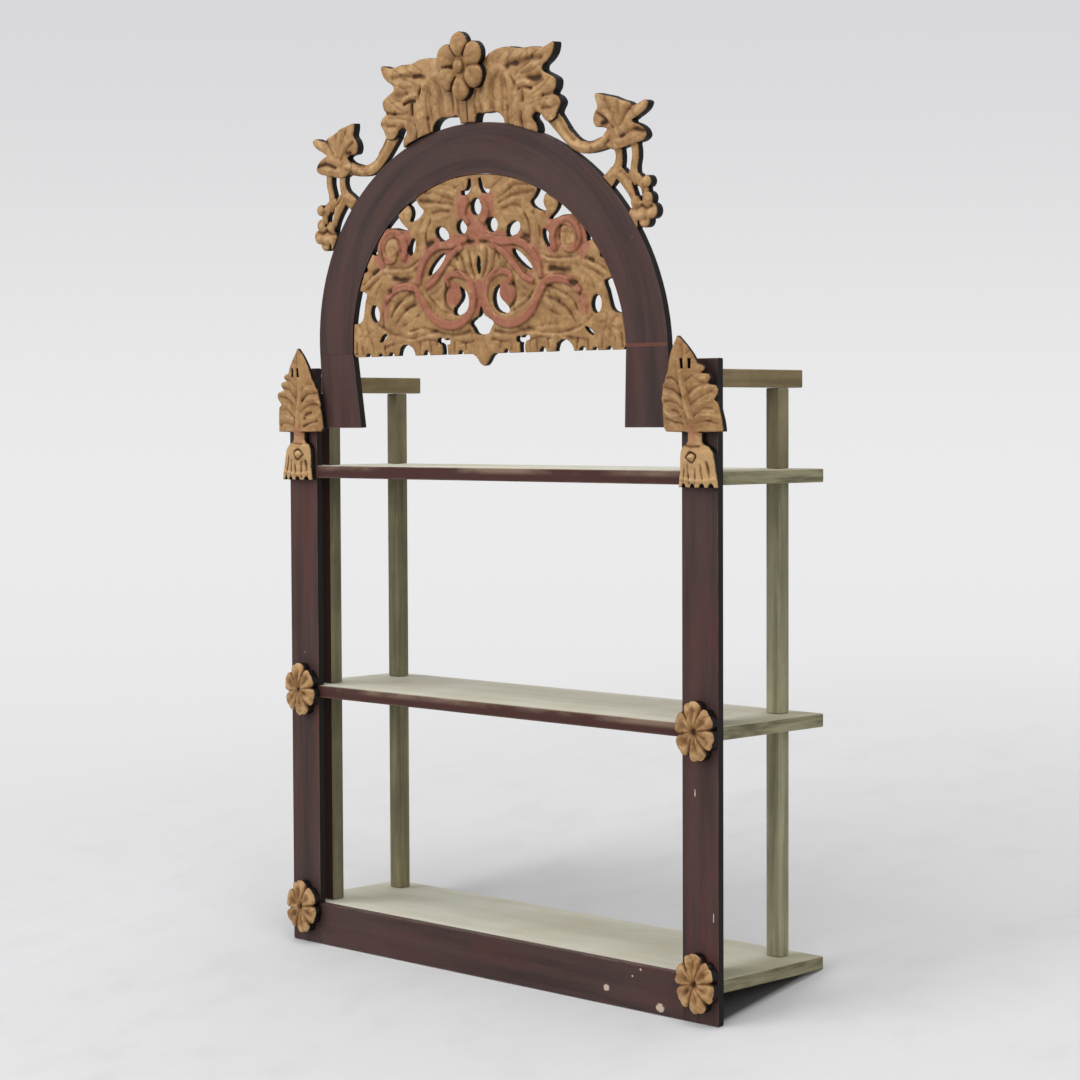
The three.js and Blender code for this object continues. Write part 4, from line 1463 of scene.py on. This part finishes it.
@dataclass(frozen=True)
class Studio:
    """Pale floor, pale background, soft lamps and the camera at the photograph's angle.

    The shelf stands on its foot and its heel, given as Y and Z. Under it is a painted shadow, off
    the lines X = 0 and Y = `shade_middle`: a pair says where the shadow ends and where it is full.
    """

    azimuth: float = math.radians(44.848)
    down: float = math.radians(2.611)
    roll: float = math.radians(-0.242)
    lens: float = 87.41
    sensor: float = 36.0
    clip: tuple[float, float] = (0.05, 50.0)
    eye: Place = (1.8525, -1.9395, 0.5158)
    backdrop: RGB = (224, 224, 225)
    foot: tuple[float, float] = (-0.1475, -0.0366)
    heel: tuple[float, float] = (0.0, SHELF_UNDER)
    floor_reach: float = 1.5
    fade: tuple[float, float] = (0.45, 1.3)
    shade_middle: float = -0.073
    shade_wide: tuple[float, float] = (0.296, 0.288)
    shade_deep: tuple[float, float] = (0.076, 0.07)
    lamps: tuple[Lamp, ...] = (
        Lamp("main", (-1.9, -2.6, 2.3), (0.0, -0.1, 0.45), 2.2, 58.0),
        Lamp("fill", (3.0, -1.0, 1.2), (0.0, -0.1, 0.4), 2.0, 26.0),
        Lamp("top", (0.2, -0.4, 2.8), (0.0, -0.1, 0.4), 2.0, 36.0))

    def camera(self) -> None:
        """Sets the camera: right, up and back axes from its azimuth, tilt and roll."""
        ca, sa = math.cos(self.azimuth), math.sin(self.azimuth)
        ce, se = math.cos(self.down), math.sin(self.down)
        ahead = Vector((-sa * ce, ca * ce, -se))
        side = Vector((ca, sa, 0.0))
        up = side.cross(ahead)
        c, s = math.cos(self.roll), math.sin(self.roll)
        right, top = side * c + up * s, up * c - side * s
        data = bpy.data.cameras.new("camera")
        data.lens, data.sensor_width = self.lens, self.sensor
        data.clip_start, data.clip_end = self.clip
        camera = bpy.data.objects.new("camera", data)
        turn = Matrix((right, top, -ahead)).transposed().to_4x4()
        camera.matrix_world = Matrix.Translation(self.eye) @ turn
        bpy.context.scene.collection.objects.link(camera)
        bpy.context.scene.camera = camera

    def world(self) -> None:
        """A pale world: even light, and its own brightness where the camera sees it, with painted
        light at eye level.
        """
        world = bpy.data.worlds.new("studio")
        bpy.context.scene.world = world
        world.use_nodes = True
        n = Nodes(world.node_tree)
        out = next(o for o in world.node_tree.nodes if o.type == "OUTPUT_WORLD")
        soft = world.node_tree.nodes["Background"]
        n.feed(soft, {"Color": tone(250, 250, 252), "Strength": 0.5})
        # Painted light on the backdrop: brightest just under eye level, darker above and a little
        # darker far below.
        rise = n.part(n.add("TexCoord", out="Generated"), "Z")
        backdrop_light_band = n.mix(n.step(rise, -0.03, 0.17), tone(235, 235, 236), tone(217, 217, 219))
        backdrop_light_band = n.lay(backdrop_light_band, self.backdrop, n.step(rise, -0.04, -0.22))
        seen = n.add("Background", {"Color": backdrop_light_band, "Strength": 1.0})
        path = n.add("LightPath").node.outputs
        shown = n.math("MAXIMUM", path["Is Camera Ray"], path["Is Glossy Ray"])
        n.feed(out, {"Surface": n.add("MixShader", {0: shown, 1: soft.outputs[0], 2: seen})})

    def floor(self) -> None:
        """A pale disc, by rings of corners, through the front feet and the rear lower edge."""
        (y0, z0), (y1, z1) = self.foot, self.heel
        slope = math.atan2(z1 - z0, y1 - y0)
        rings, count = 24, 96
        radius = np.linspace(0, self.floor_reach, rings + 1)[1:, None]
        around = np.linspace(0, 2 * math.pi, count, endpoint=False)[None]
        x, run = radius * np.cos(around), radius * np.sin(around)
        c, s = math.cos(slope), math.sin(slope)
        points = np.stack([x, y0 + run * c, z0 + run * s], -1).reshape(-1, 3)
        points = np.vstack([points, [[0.0, y0, z0]]])
        i, k = np.arange(rings - 1)[:, None] * count, np.arange(count)[None]
        after = (k + 1) % count
        faces = np.stack([i + k, i + count + k, i + count + after, i + after], -1).reshape(-1, 4)
        hub = np.c_[np.full(count, rings * count), k.ravel(), after.ravel()]
        mesh = bpy.data.meshes.new("floor")
        mesh.from_pydata(points.tolist(), [], faces.tolist() + hub.tolist())
        mesh.materials.append(self._floor_material())
        floor = bpy.data.objects.new("floor", mesh)
        bpy.context.scene.collection.objects.link(floor)

    def _floor_material(self) -> bpy.types.Material:
        """Makes pale matt paper: dusty, a painted shadow under the shelf, clear from below and far
        away.

        Returns:
            The material.
        """
        finish = Finish("pale floor", dull=0.9)
        material, n, shader = finish.start()
        out = next(o for o in material.node_tree.nodes if o.type == "OUTPUT_MATERIAL")
        where = n.add("TexCoord", out="Object")
        axes = n.part(where, "X").node.outputs
        # Painted shadow: the paper is darkened under the bottom shelf, where the shelf's shadow
        # falls.
        off_middle = n.math("ABSOLUTE", n.math("ADD", axes["Y"], -self.shade_middle))
        inside = n.times(n.step(n.math("ABSOLUTE", axes["X"]), *self.shade_wide),
                         n.step(off_middle, *self.shade_deep))
        dust = n.step(n.noise(where, 14.0, 6.0, 0.6), 0.45, 0.75)
        paper = n.lay(tone(214, 214, 215), (205, 204, 204), dust, 0.5)
        shaded = n.lay(paper, (60, 58, 56), inside, 0.8)
        n.feed(shader, {"Base Color": shaded, "Roughness": finish.dull})
        away = n.vector("DISTANCE", where, (0.0, *self.foot), "Value")
        below = n.add("NewGeometry", out="Backfacing")
        hidden = n.math("MAXIMUM", n.step(away, *self.fade), below)
        clear = n.add("BsdfTransparent")
        n.feed(out, {"Surface": n.add("MixShader", {0: hidden, 1: shader.outputs[0], 2: clear})})
        return material

    def set_up(self) -> None:
        """Makes the whole studio."""
        bpy.context.scene.view_settings.view_transform = "Standard"
        self.camera()
        self.world()
        self.floor()
        for lamp in self.lamps:
            lamp.build()


# Strokes and washes: strength, width, then a line of x and h in millimetres.
PANEL_STROKES: tuple[Stroke, ...] = (
    # Vine leaf at the top
    (-0.9, 1.4, ((30, 223), (45, 228), (58, 233), (72, 234))),
    (-1.1, 1.8, ((33, 219), (50, 223), (66, 226), (80, 226))),
    (-1.0, 1.7, ((38, 213), (50, 215), (62, 213))),
    (-0.7, 1.3, ((24, 233), (36, 239), (50, 241))),
    (0.7, 1.5, ((30, 228), (46, 233), (62, 238))),
    (0.8, 1.5, ((36, 216), (54, 220), (72, 221))),
    (0.6, 1.4, ((40, 207), (56, 206), (70, 207))),
    # Leaf between the two round holes
    (-1.0, 1.5, ((66, 206), (72, 194), (71, 178))),
    (-0.8, 1.4, ((78, 206), (84, 194), (85, 176))),
    (-0.7, 1.3, ((91, 207), (97, 197))),
    (-1.2, 2.6, ((63, 184), (68, 182))),
    (0.8, 1.6, ((72, 204), (78, 190), (77, 170))),
    # Hook in the curl, and the berries
    (1.1, 2.2, ((117, 181), (121, 188), (128, 187), (131, 180), (127, 174), (121, 175))),
    (-0.9, 1.5, ((112, 178), (116, 190), (124, 194), (133, 189), (137, 180), (134, 170))),
    (0.7, 1.8, ((117, 169), (126, 167), (134, 160))),
    (1.4, 5.5, ((101, 214), (102, 214))),
    (1.4, 5.5, ((154, 167), (155, 167))),
    (-1.6, 2.2, ((146, 160), (155, 158))),
    # Leaf under the curl
    (-0.9, 1.4, ((85, 167), (100, 162), (118, 161), (136, 163))),
    (-1.6, 2.6, ((98, 151), (112, 150), (124, 151))),
    (-0.7, 1.3, ((88, 158), (104, 156), (126, 156), (142, 153))),
    (0.8, 1.5, ((88, 162), (106, 158), (126, 158), (142, 158))),
    (0.7, 1.6, ((92, 146), (110, 144), (126, 144))),
    (-2.0, 2.8, ((127, 138), (131, 137))),
    (0.8, 1.8, ((112, 137), (122, 131), (132, 131))),
    # Small hollows
    (-1.2, 1.8, ((5, 183), (12, 181))),
    (-0.9, 1.8, ((28, 173), (31, 164))),
    (-0.9, 2.6, ((95, 130), (96, 125))),
    (-0.7, 2.0, ((58, 127), (67, 126))),
    (-1.0, 1.5, ((49, 170), (56, 160), (66, 150))),
    # Round the disc of the big scroll, and the leaf inside the scroll
    (-1.2, 1.8, ((46, 141), (50, 132), (48, 122), (41, 117))),
    (0.9, 2.0, ((15, 140), (12, 128), (17, 116), (30, 109), (45, 110))),
    (-0.8, 1.4, ((44, 112), (58, 118), (70, 128), (78, 138))),
    (-0.7, 1.3, ((54, 140), (62, 134), (72, 130))),
    (0.7, 1.5, ((50, 116), (62, 123), (72, 134))),
    # Veins of the corner leaf
    (-0.9, 1.3, ((144, 152), (155, 148), (166, 141))),
    (-0.8, 1.3, ((150, 158), (161, 153), (171, 146))),
    (-0.7, 1.2, ((142, 146), (149, 140), (154, 131))),
    (0.8, 1.4, ((147, 156), (158, 151), (168, 144))),
    (0.7, 1.4, ((142, 149), (152, 143), (160, 134))),
    # Big leaf on the right of the scroll
    (-1.0, 1.6, ((93, 136), (108, 131), (122, 123), (131, 112))),
    (-0.9, 1.5, ((92, 124), (106, 119), (118, 111), (127, 101))),
    (-0.8, 1.4, ((90, 113), (103, 108), (115, 101))),
    (-0.8, 1.4, ((136, 127), (142, 116), (144, 104))),
    (-0.7, 2.4, ((102, 124), (108, 121))),
    (0.8, 1.5, ((96, 130), (112, 124), (126, 114))),
    (0.7, 1.5, ((92, 118), (108, 111), (120, 103))),
    (0.6, 1.5, ((138, 122), (140, 108), (136, 100))),
    # Long leaves along the bottom
    (-1.0, 1.6, ((18, 95), (40, 92), (62, 95), (84, 99), (104, 98))),
    (-0.9, 1.5, ((14, 86), (30, 85), (46, 88))),
    (-0.9, 1.5, ((64, 96), (88, 91), (112, 91), (134, 97), (150, 105))),
    (-0.9, 1.4, ((68, 86), (80, 87), (94, 85))),
    (-0.8, 1.4, ((110, 88), (124, 86), (140, 83))),
    (0.8, 1.6, ((20, 90), (44, 87), (66, 90), (90, 95), (112, 95))),
    (0.7, 1.5, ((70, 91), (92, 88), (116, 89), (136, 93))),
    # Flutes over the scalloped edge
    (-0.9, 1.2, ((66, 75), (67, 84))), (-0.9, 1.2, ((75, 75), (76, 84))),
    (-0.9, 1.2, ((91, 75), (90, 84))), (-0.9, 1.2, ((128, 75), (130, 84))),
    (-0.9, 1.2, ((142, 75), (143, 84))), (-0.9, 1.2, ((160, 75), (161, 86))),
    (-0.9, 1.2, ((177, 75), (177, 87))), (-0.9, 1.2, ((186, 76), (185, 88))),
    (-0.9, 1.2, ((40, 76), (40, 84))), (-0.9, 1.2, ((24, 78), (25, 84))),
    # Palmette round the middle slit
    (-1.0, 1.4, ((5, 146), (10, 158), (13, 173))),
    (-0.9, 1.4, ((10, 144), (19, 157), (25, 170))),
    (-0.8, 1.3, ((14, 143), (28, 153), (40, 160))),
    (0.9, 1.5, ((3, 146), (6, 160), (6, 175))),
    (0.9, 1.5, ((8, 145), (15, 158), (19, 172))),
    (0.8, 1.5, ((13, 145), (24, 155), (33, 165))),
    # Flower in the corner
    (1.0, 3.2, ((164, 102), (165, 102))), (1.0, 3.2, ((174, 104), (175, 104))),
    (1.0, 3.2, ((182, 97), (182, 98))), (1.0, 3.2, ((178, 89), (179, 89))),
    (1.0, 3.2, ((168, 87), (169, 87))), (1.0, 3.2, ((160, 93), (160, 94))),
    (1.2, 2.4, ((171, 96), (172, 96))),
    (-0.8, 1.2, ((169, 98), (169, 106))), (-0.8, 1.2, ((175, 97), (181, 103))),
    (-0.8, 1.2, ((175, 94), (183, 91))), (-0.8, 1.2, ((171, 92), (173, 85))),
    (-0.8, 1.2, ((168, 94), (162, 87))), (-0.8, 1.2, ((167, 97), (158, 98))),
)

PANEL_WASHES: tuple[Stroke, ...] = (
    (1.0, 9.0, ((17, 222), (15, 208), (7, 194), (0, 190))),
    (1.0, 7.0, ((5, 187), (25, 184), (45, 181), (62, 180), (75, 170), (83, 156))),
    (1.0, 5.0, ((26, 180), (44, 167), (58, 152), (72, 141))),
    (1.0, 11.0, ((104, 176), (106, 190), (119, 194), (134, 190), (141, 176), (134, 168))),
    (-1.0, 5.0, ((119, 180), (123, 187), (129, 184), (127, 176))),
    (-1.0, 4.0, ((117, 169), (126, 167), (134, 160))),
    (1.0, 11.0, ((37, 132), (38, 132))),
    (1.0, 7.0, ((0, 138), (0, 118))),
    (0.8, 6.0, ((92, 141), (108, 143), (124, 139), (136, 128), (141, 112))),
)

CREST_STROKES: tuple[Stroke, ...] = (
    # Arched ridge beside the flower, and what it frames
    (1.2, 2.4, ((27, 304), (28, 324), (31, 338), (39, 346), (48, 346),
                (56, 340), (62, 330), (67, 318))),
    (-0.9, 2.6, ((37, 306), (37, 322), (42, 336))),
    (-0.8, 2.2, ((50, 304), (52, 320), (50, 336))),
    (0.6, 2.0, ((44, 302), (45, 318), (44, 330))),
    (-0.9, 1.8, ((20, 306), (19, 318), (23, 332))),
    (-0.9, 1.6, ((12, 305), (12, 316), (14, 326))),
    (0.6, 1.8, ((16, 304), (15, 318), (18, 330))),
    # Upper lobe that runs to the tip
    (-1.6, 2.4, ((58, 345), (64, 347), (71, 347))),
    (-1.1, 2.6, ((74, 347), (88, 349), (104, 349))),
    (0.8, 3.6, ((42, 358), (60, 357), (80, 356), (100, 355), (114, 359))),
    (-0.8, 1.2, ((46, 350), (50, 356), (57, 362))), (-0.8, 1.2, ((60, 351), (65, 356), (73, 361))),
    (-0.8, 1.2, ((76, 351), (81, 355), (89, 360))), (-0.8, 1.2, ((91, 351), (96, 354), (104, 358))),
    # Middle lobe, with a dark fold over its root
    (-1.5, 2.6, ((86, 331), (93, 330), (101, 331))),
    (0.8, 4.0, ((66, 338), (82, 340), (100, 341))),
    (-1.5, 2.2, ((64, 335), (66, 329), (65, 322))),
    (-0.9, 1.3, ((78, 336), (90, 337), (104, 341))), (-0.8, 1.2, ((70, 336), (78, 341), (88, 345))),
    # Ridge with the two dark pockets
    (1.3, 1.9, ((70, 327), (80, 328), (88, 326))),
    (-2.0, 1.7, ((72, 323), (80, 323), (89, 321))),
    (-2.0, 1.7, ((77, 319), (77, 311))),
    # Lower lobes, each with a soft middle and a notch towards the edge
    (0.8, 4.2, ((88, 317), (102, 320), (116, 324))),
    (-1.3, 1.8, ((104, 313), (114, 314), (123, 317))),
    (0.8, 3.8, ((88, 306), (104, 307), (120, 306))),
    (-1.2, 1.8, ((104, 301), (114, 301), (124, 303))),
    (0.8, 3.4, ((98, 296), (110, 295), (120, 297))),
    (-1.3, 1.8, ((92, 300), (97, 296))),
    (-0.8, 1.2, ((90, 314), (100, 319), (113, 328))),
    (-0.8, 1.2, ((88, 320), (95, 324), (105, 328))),
    (-0.8, 1.2, ((86, 306), (98, 308), (113, 309))),
    (-0.8, 1.2, ((84, 312), (94, 311), (104, 313))),
    (-0.8, 1.2, ((33, 306), (33, 322), (38, 336), (46, 341))),
    (-0.8, 1.2, ((56, 306), (57, 320), (54, 334))),
    (0.8, 3.0, ((70, 312), (66, 300), (62, 290))),
    (-1.2, 1.7, ((57, 306), (56, 298), (55, 291))),
    (-1.2, 1.7, ((74, 300), (73, 293), (75, 285))),
    (0.7, 3.0, ((84, 300), (83, 290), (86, 282))),
    # Stem
    (1.3, 2.4, ((112, 294), (122, 281), (132, 271), (144, 263),
                (157, 260), (170, 262), (184, 268))),
    (-0.9, 1.4, ((118, 292), (128, 279), (138, 270))),
    (-0.9, 1.5, ((158, 265), (168, 267), (178, 273))),
    (-1.3, 1.6, ((166, 258), (176, 260), (184, 264))),
    # Spray leaf: lobes fan out from the stem
    (-1.3, 1.7, ((194, 278), (188, 290), (182, 302))),
    (-1.3, 1.7, ((200, 278), (206, 287), (213, 294))),
    (-1.2, 1.6, ((190, 276), (181, 284), (172, 290))),
    (-1.4, 1.8, ((200, 268), (214, 272), (228, 270))),
    (-0.8, 1.4, ((197, 284), (197, 299))),
    (1.1, 3.0, ((193, 280), (190, 292), (190, 302))),
    (1.1, 3.0, ((199, 280), (201, 290), (204, 296))),
    (1.1, 2.8, ((202, 276), (214, 284), (228, 293))),
    (1.0, 2.6, ((188, 280), (180, 292), (174, 301))),
    (0.8, 1.8, ((192, 262), (204, 265), (218, 266))),
    (-1.5, 2.0, ((177, 280), (181, 280))),
    # Hanging tendrils and knots
    (0.9, 1.8, ((193, 258), (194, 247), (190, 239), (180, 232))),
    (0.9, 1.8, ((213, 258), (214, 246), (212, 236), (215, 226))),
    (-0.9, 1.4, ((196, 236), (206, 228), (216, 222))),
    (0.9, 1.8, ((190, 236), (201, 226), (208, 214))),
    (1.6, 3.4, ((219, 194), (221, 194))), (1.4, 3.0, ((231, 196), (232, 196))),
    (1.2, 3.0, ((213, 206), (214, 206))), (1.2, 3.0, ((228, 209), (229, 209))),
    (1.2, 3.0, ((212, 194), (212, 195))), (1.2, 2.8, ((223, 186), (224, 186))),
    (1.2, 2.8, ((228, 225), (229, 225))),
    (-1.3, 1.6, ((221, 203), (227, 201), (232, 203))),
    (-1.1, 1.5, ((218, 211), (221, 216), (223, 222))),
    (-1.1, 1.5, ((206, 200), (213, 200), (218, 202))), (-1.1, 1.5, ((218, 189), (226, 191))),
)

PENDANT_STROKES: tuple[Stroke, ...] = (
    # Leaf: a vein up the middle and side veins that rise from it
    (1.1, 1.6, ((278, 509), (275, 522), (271, 536), (268, 552), (267, 566))),
    (-0.7, 1.1, ((274, 510), (271, 523), (267, 537), (264, 552))),
    (-0.7, 1.1, ((282, 510), (279, 524), (276, 538), (273, 552))),
    (-1.0, 1.2, ((281, 520), (290, 526), (302, 527))),
    (-1.0, 1.2, ((279, 531), (289, 538), (302, 541))),
    (-0.9, 1.2, ((277, 542), (286, 548), (298, 550))),
    (-0.9, 1.1, ((275, 552), (282, 557), (291, 559))),
    (-0.8, 1.1, ((274, 576), (279, 580))),
    (-1.2, 1.7, ((255, 524), (261, 523), (265, 519))),
    (-1.0, 1.2, ((246, 516), (256, 513), (268, 511))),
    (-0.9, 1.2, ((268, 527), (258, 532), (244, 533))),
    (-0.9, 1.2, ((267, 538), (257, 544), (244, 545))),
    (-0.9, 1.1, ((265, 549), (257, 554), (249, 554))),
    (-0.9, 1.2, ((284, 512), (296, 514), (308, 512))),
    (0.8, 1.2, ((281, 525), (291, 532), (304, 533))),
    (0.8, 1.2, ((278, 537), (288, 544), (301, 545))),
    (0.8, 1.2, ((267, 532), (257, 538), (243, 539))),
    (0.8, 1.2, ((266, 521), (255, 518), (244, 522))),
    (0.8, 1.2, ((283, 517), (295, 520), (308, 518))),
    (-0.7, 1.3, ((269, 584), (270, 572))),
    (1.2, 1.8, ((289, 553), (294, 554))), (1.2, 1.8, ((296, 545), (303, 545))),
    (1.2, 1.8, ((301, 535), (309, 535))), (1.0, 1.6, ((240, 535), (246, 535))),
    # Bell: a lozenge, flutes and a rolled hem
    (1.4, 1.8, ((274, 481), (277, 481))),
    (-1.6, 1.0, ((269, 481), (275, 486), (282, 483), (277, 476), (269, 481))),
    (-1.2, 1.1, ((264, 458), (266, 474))), (-1.2, 1.1, ((272, 457), (271, 473))),
    (-1.2, 1.1, ((280, 458), (281, 470))), (-1.2, 1.1, ((289, 459), (287, 474))),
    (-1.1, 1.1, ((297, 459), (293, 478))),
    (1.0, 1.4, ((260, 461), (274, 460), (288, 461), (302, 463))),
    (-0.9, 1.0, ((266, 493), (276, 492), (286, 493))),
)

PENDANT_WASHES: tuple[Stroke, ...] = (
    (0.5, 6.0, ((276, 495), (276, 506))),
)

FLOWER_STROKES: tuple[Stroke, ...] = (
    (-1.6, 1.3, ((6, 361), (14, 374))),
    (-1.6, 1.3, ((11, 350), (28, 350))),
    (-1.6, 1.3, ((6, 340), (14, 327))),
    (0.8, 2.2, ((6, 370), (9, 372))),
    (-0.5, 1.6, ((12, 356), (22, 361))),
    (-0.5, 1.6, ((12, 345), (22, 339))),
    (-0.5, 1.6, ((0, 362), (0, 374))),
    (-0.5, 1.6, ((0, 339), (0, 327))),
)


def main() -> None:
    """Builds the studio, dresses the boards and carves the ornaments."""
    logging.basicConfig(level=logging.INFO, format="%(name)s: %(message)s")
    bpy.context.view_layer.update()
    effects = Effects()
    Studio().set_up()
    PaintedBoards().dress(effects)
    leaning = Gilding("gilding on the arch", ahead=ARCH.outward()).material(effects)
    upright = Gilding("gilding on the stiles", ahead=UPRIGHT.outward()).material(effects)
    CarvedBoard("arch_panel", "panel_carving", ARCH, 0.8, edge=1.3, strokes=PANEL_STROKES,
                washes=PANEL_WASHES, painted_level=-1.5).build(leaning)
    for side in ("left", "right"):
        CarvedBoard(f"crest_{side}", "gilt_carving", ARCH, 0.6,
                    strokes=CREST_STROKES).build(leaning)
        CarvedBoard(f"pendant_{side}", "gilt_carving", UPRIGHT, 0.5, edge=1.4, swell=0.3,
                    strokes=PENDANT_STROKES, washes=PENDANT_WASHES).build(upright)
        for level in ("lower", "upper"):
            Rosette(f"rosette_{level}_{side}").build(upright)
    CarvedBoard("crest_flower", "gilt_carving", ARCH, 0.5, edge=1.6, swell=0.0, blurs=4,
                strokes=FLOWER_STROKES).build(leaning)


if __name__ == "__main__":
    main()
